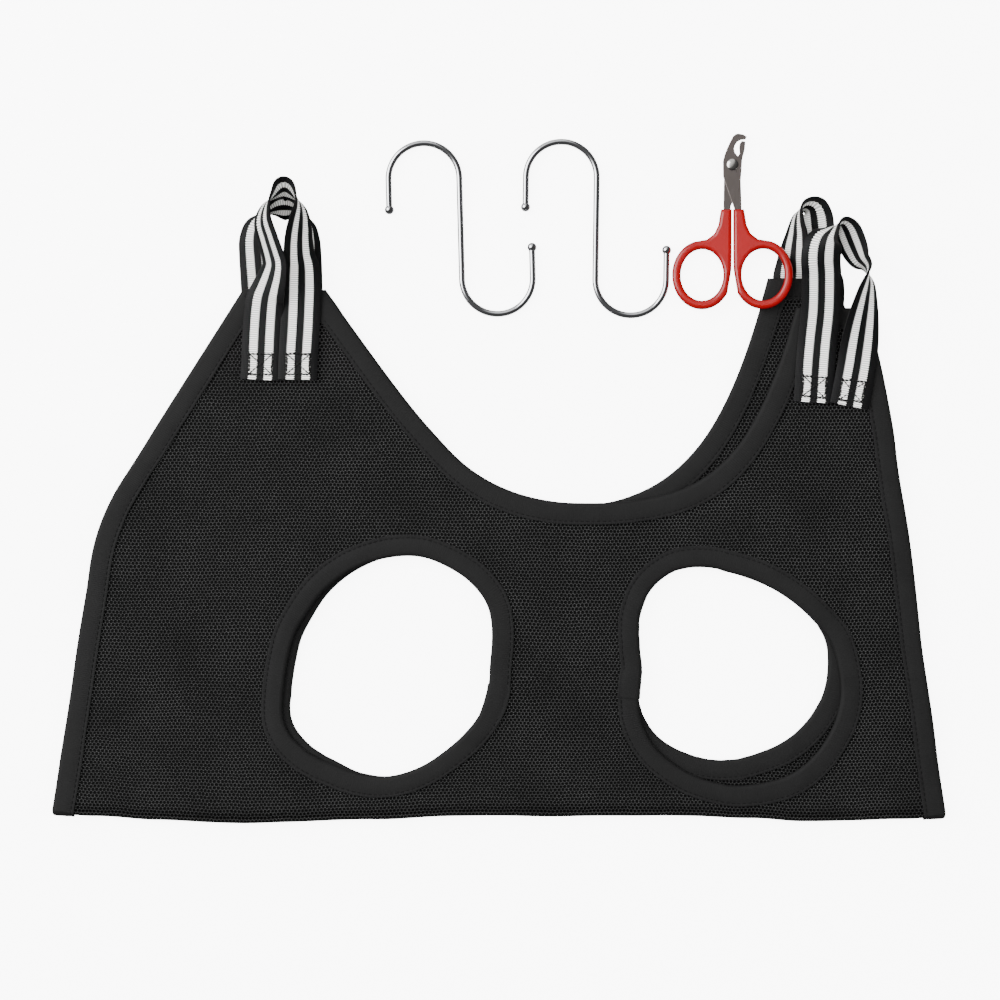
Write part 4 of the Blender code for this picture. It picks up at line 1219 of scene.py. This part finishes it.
def s_hook(name):
    """A hook's wire and its two balls."""
    x, lean = HOOKS[name]
    place = (Matrix.Translation((x, height(HOOK_HEIGHT_FROM_FOLD), HOOK_BALL / 2))
             @ Matrix.Rotation(math.radians(lean), 4, "Z"))
    route = hook_line()
    rings = []
    for i, point in enumerate(route):
        forward = heading(route, i)
        side = Vector((-forward.y, forward.x, 0))
        rings.append([place @ (point + (side * c + Vector((0, 0, s))) * HOOK_WIRE / 2)
                      for c, s in circle(WIRE_SIDES)])
    across = list(range(WIRE_SIDES + 1))
    parts = {"wire": skin(f"{name}_bent_wire", rings, across, lengths(route), chrome, smooth_to=80.0)}
    for word, end in (("upper_ball", route[0]), ("lower_ball", route[-1])):
        parts[word] = round_ball(f"{name}_{word}_tip", place @ end, HOOK_BALL / 2, chrome)
    for word, piece in parts.items():
        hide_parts(f"{name}_{word}")
        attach(piece, name)
    print(name, "wire length in mm", round(lengths(route)[-1]))


for name in HOOKS:
    s_hook(name)

# %% [markdown]
# ## Nail scissors
#
# The blades are stamped from sheet steel and ground, with a crescent for the claw. The handles are
# glossy red plastic, moulded round. A filled 2D curve with a rounded bevel makes both: it keeps the
# outline exact and rounds every edge, the holes' too.

# %% Glossy plastic


def moulded_plastic():
    """Glossy red ABS from a polished mould, with the faint swell that moulding leaves."""
    made, tree, shader = start_material("glossy red ABS", "#800003", 0.25)
    place = add(tree, "ShaderNodeTexCoord").outputs["Object"]
    swell = clouds(tree, place, 90.0, 2.0)["Fac"]
    feed(shader, {"Base Color": mixed(tree, swell, srgb("#7b0002"), srgb("#860004")),
                  "Normal": relief(tree, swell, 0.0001, 0.15), "Specular IOR Level": 0.3,
                  "Coat Weight": 0.3, "Coat Roughness": 0.05})
    print("material", made.name)
    return made


plastic = moulded_plastic()

# %% Outlines of the scissors, in their own frame: the rivet is at the middle, the tips along +Y
BLADE_THICKNESS = 1.0
BLADE_GAP = 0.3
TANG_INNER = 1.0
TANG_OUTER = 4.6
TANG_END = 31.0
BLADE_REACH = 16.0
LOWER_BLADE = [
    (-TANG_INNER, -TANG_END), (-TANG_INNER, -21.4), (0.0, -18.9), (4.2, -8.0), (4.7, -1.0), (5.0, 3.3),
    (5.8, 6.2), (6.3, 8.5), (6.6, 12.0), (4.8, 12.4), (3.7, 11.0), (3.4, 9.0), (3.6, 6.0), (2.8, 4.4),
    (0.4, 3.6), (-2.6, 2.8), (-4.5, -0.5), (-4.4, -8.0), (-TANG_OUTER, -20.4), (-TANG_OUTER, -TANG_END)]
UPPER_BLADE = [
    (TANG_INNER, -TANG_END), (TANG_OUTER, -TANG_END), (TANG_OUTER, -20.4), (4.2, -8.0), (4.7, -2.0),
    (4.7, 2.4), (4.2, 3.6), (2.4, 4.6), (1.2, 6.2), (0.8, 8.2), (1.2, 10.0), (2.4, 11.8), (4.2, 12.8),
    (6.6, 13.0), (7.3, 14.3), (5.5, 15.5), (2.9, BLADE_REACH), (1.6, 15.7), (0.3, 14.6), (-1.4, 11.4),
    (-2.7, 8.5), (-4.1, 4.9), (-4.9, 1.6), (-4.8, -5.9), (TANG_INNER, -22.9)]
HANDLE_TOP = 23.0
HANDLE_THICKNESS = 5.0
HANDLE_INSIDE = [(0.4, -HANDLE_TOP), (0.4, -46.0), (0.6, -54.0), (1.8, -61.0)]
HANDLE_OUTSIDE = [(13.0, -38.4), (9.2, -35.4), (7.2, -31.0), (6.4, -26.0), (5.8, -HANDLE_TOP)]
RING_CENTRE = (15.5, -56.5)
RING_HOLE = (10.9, 13.3)
RING_BAND = 4.3
RIVET_RADIUS = 3.0
RIVET_RISE = 0.8
RIVET_RIM = 0.15
RIVET_SIDES = 32
SCISSORS_PITCH = 3.4
SCISSORS_ROLL = 4.8
SCISSORS_RIVET_LEVEL = 2.5
SCISSORS_X_FROM_RIGHT_END = 108.2


def scissors_frame():
    """Where the scissors lie: the rivet's head is on the table and the right ring on the back ear."""
    x = RIGHT_END - SCISSORS_X_FROM_RIGHT_END
    place = Matrix.Translation((x, KIT_DEPTH / 2 - BLADE_REACH, SCISSORS_RIVET_LEVEL))
    return (place @ Matrix.Rotation(math.radians(-SCISSORS_ROLL), 4, "Y")
            @ Matrix.Rotation(math.radians(-SCISSORS_PITCH), 4, "X"))


def arc(radii, start, end, steps):
    """Points of an oval arc round a ring's centre, its last point left out."""
    x, y = RING_CENTRE
    angles = [math.radians(start + (end - start) * step / steps) for step in range(steps)]
    return [(x + radii[0] * math.cos(angle), y + radii[1] * math.sin(angle)) for angle in angles]


def handle_loops(sign):
    """A handle's outer edge and its finger hole."""
    outer = (RING_HOLE[0] + RING_BAND, RING_HOLE[1] + RING_BAND)
    outline = HANDLE_INSIDE + arc(outer, 212.0, 440.0, 48) + HANDLE_OUTSIDE
    return [[(sign * x, y) for x, y in loop] for loop in (outline, arc(RING_HOLE, 0, 360, 64))]


def rounded_plate(name, loops, low, high, place, rounding, steps, finish):
    """A plate with rounded edges, from closed outlines, between two heights in a frame."""
    data = bpy.data.curves.new(name, "CURVE")
    data.dimensions = "2D"
    data.fill_mode = "BOTH"
    for loop in loops:
        line = data.splines.new("POLY")
        line.points.add(len(loop) - 1)
        for point, (x, y) in zip(line.points, loop):
            point.co = (x * MM, y * MM, 0, 1)
        line.use_cyclic_u = True
    data.extrude = ((high - low) / 2 - rounding) * MM
    data.bevel_depth = rounding * MM
    data.bevel_resolution = steps
    data.offset = -rounding * MM
    mesh = baked(new_object(name + "_curve", data), name)
    in_metres = place.copy()
    in_metres.translation = place.translation * MM
    mesh.transform(in_metres @ Matrix.Translation((0, 0, (low + high) / 2 * MM)))
    mesh.materials.clear()
    mesh.materials.append(finish)
    mesh.shade_smooth()
    mesh.set_sharp_from_angle(angle=math.radians(35))
    return new_object(name, mesh)


def domed_rivet(place, reach):
    """The rivet, with a domed head on both faces."""
    foot = reach + RIVET_RIM
    half = [(RIVET_RADIUS / 2, reach), (RIVET_RADIUS, reach), (RIVET_RADIUS, foot)]
    for step in range(1, 7):
        angle = math.pi / 2 * step / 6
        half.append((RIVET_RADIUS * math.cos(angle), foot + (RIVET_RISE - RIVET_RIM) * math.sin(angle)))
    half[-1] = (0.02, half[-1][1])
    profile = [(r, -z) for r, z in reversed(half)] + half
    rings = [[place @ Vector((r * c, r * s, z)) for c, s in circle(RIVET_SIDES)] for r, z in profile]
    along = lengths([Vector(p) for p in profile])
    return skin("domed_rivet", rings, list(range(RIVET_SIDES + 1)), along, rivet_steel, smooth_to=50.0)


def nail_scissors():
    """Both halves of the scissors and their rivet."""
    place = scissors_frame()
    near = BLADE_GAP / 2
    far = near + BLADE_THICKNESS
    half = HANDLE_THICKNESS / 2
    blade = (place, 0.12, 1, steel)
    handle = (place, 1.8, 4, plastic)
    pieces = {
        "lower_blade": rounded_plate("ground_lower_blade", [LOWER_BLADE], -far, -near, *blade),
        "upper_blade": rounded_plate("ground_upper_blade", [UPPER_BLADE], near, far, *blade),
        "left_handle": rounded_plate("left_moulded_handle", handle_loops(-1), -half, half, *handle),
        "right_handle": rounded_plate("right_moulded_handle", handle_loops(1), -half, half, *handle),
        "pivot_rivet": domed_rivet(place, far + CLEARANCE),
    }
    for node, piece in pieces.items():
        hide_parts(node)
        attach(piece, "scissors_left" if node in ("lower_blade", "left_handle") else "scissors_right")
        print(piece.name, "faces", len(piece.data.polygons))


nail_scissors()
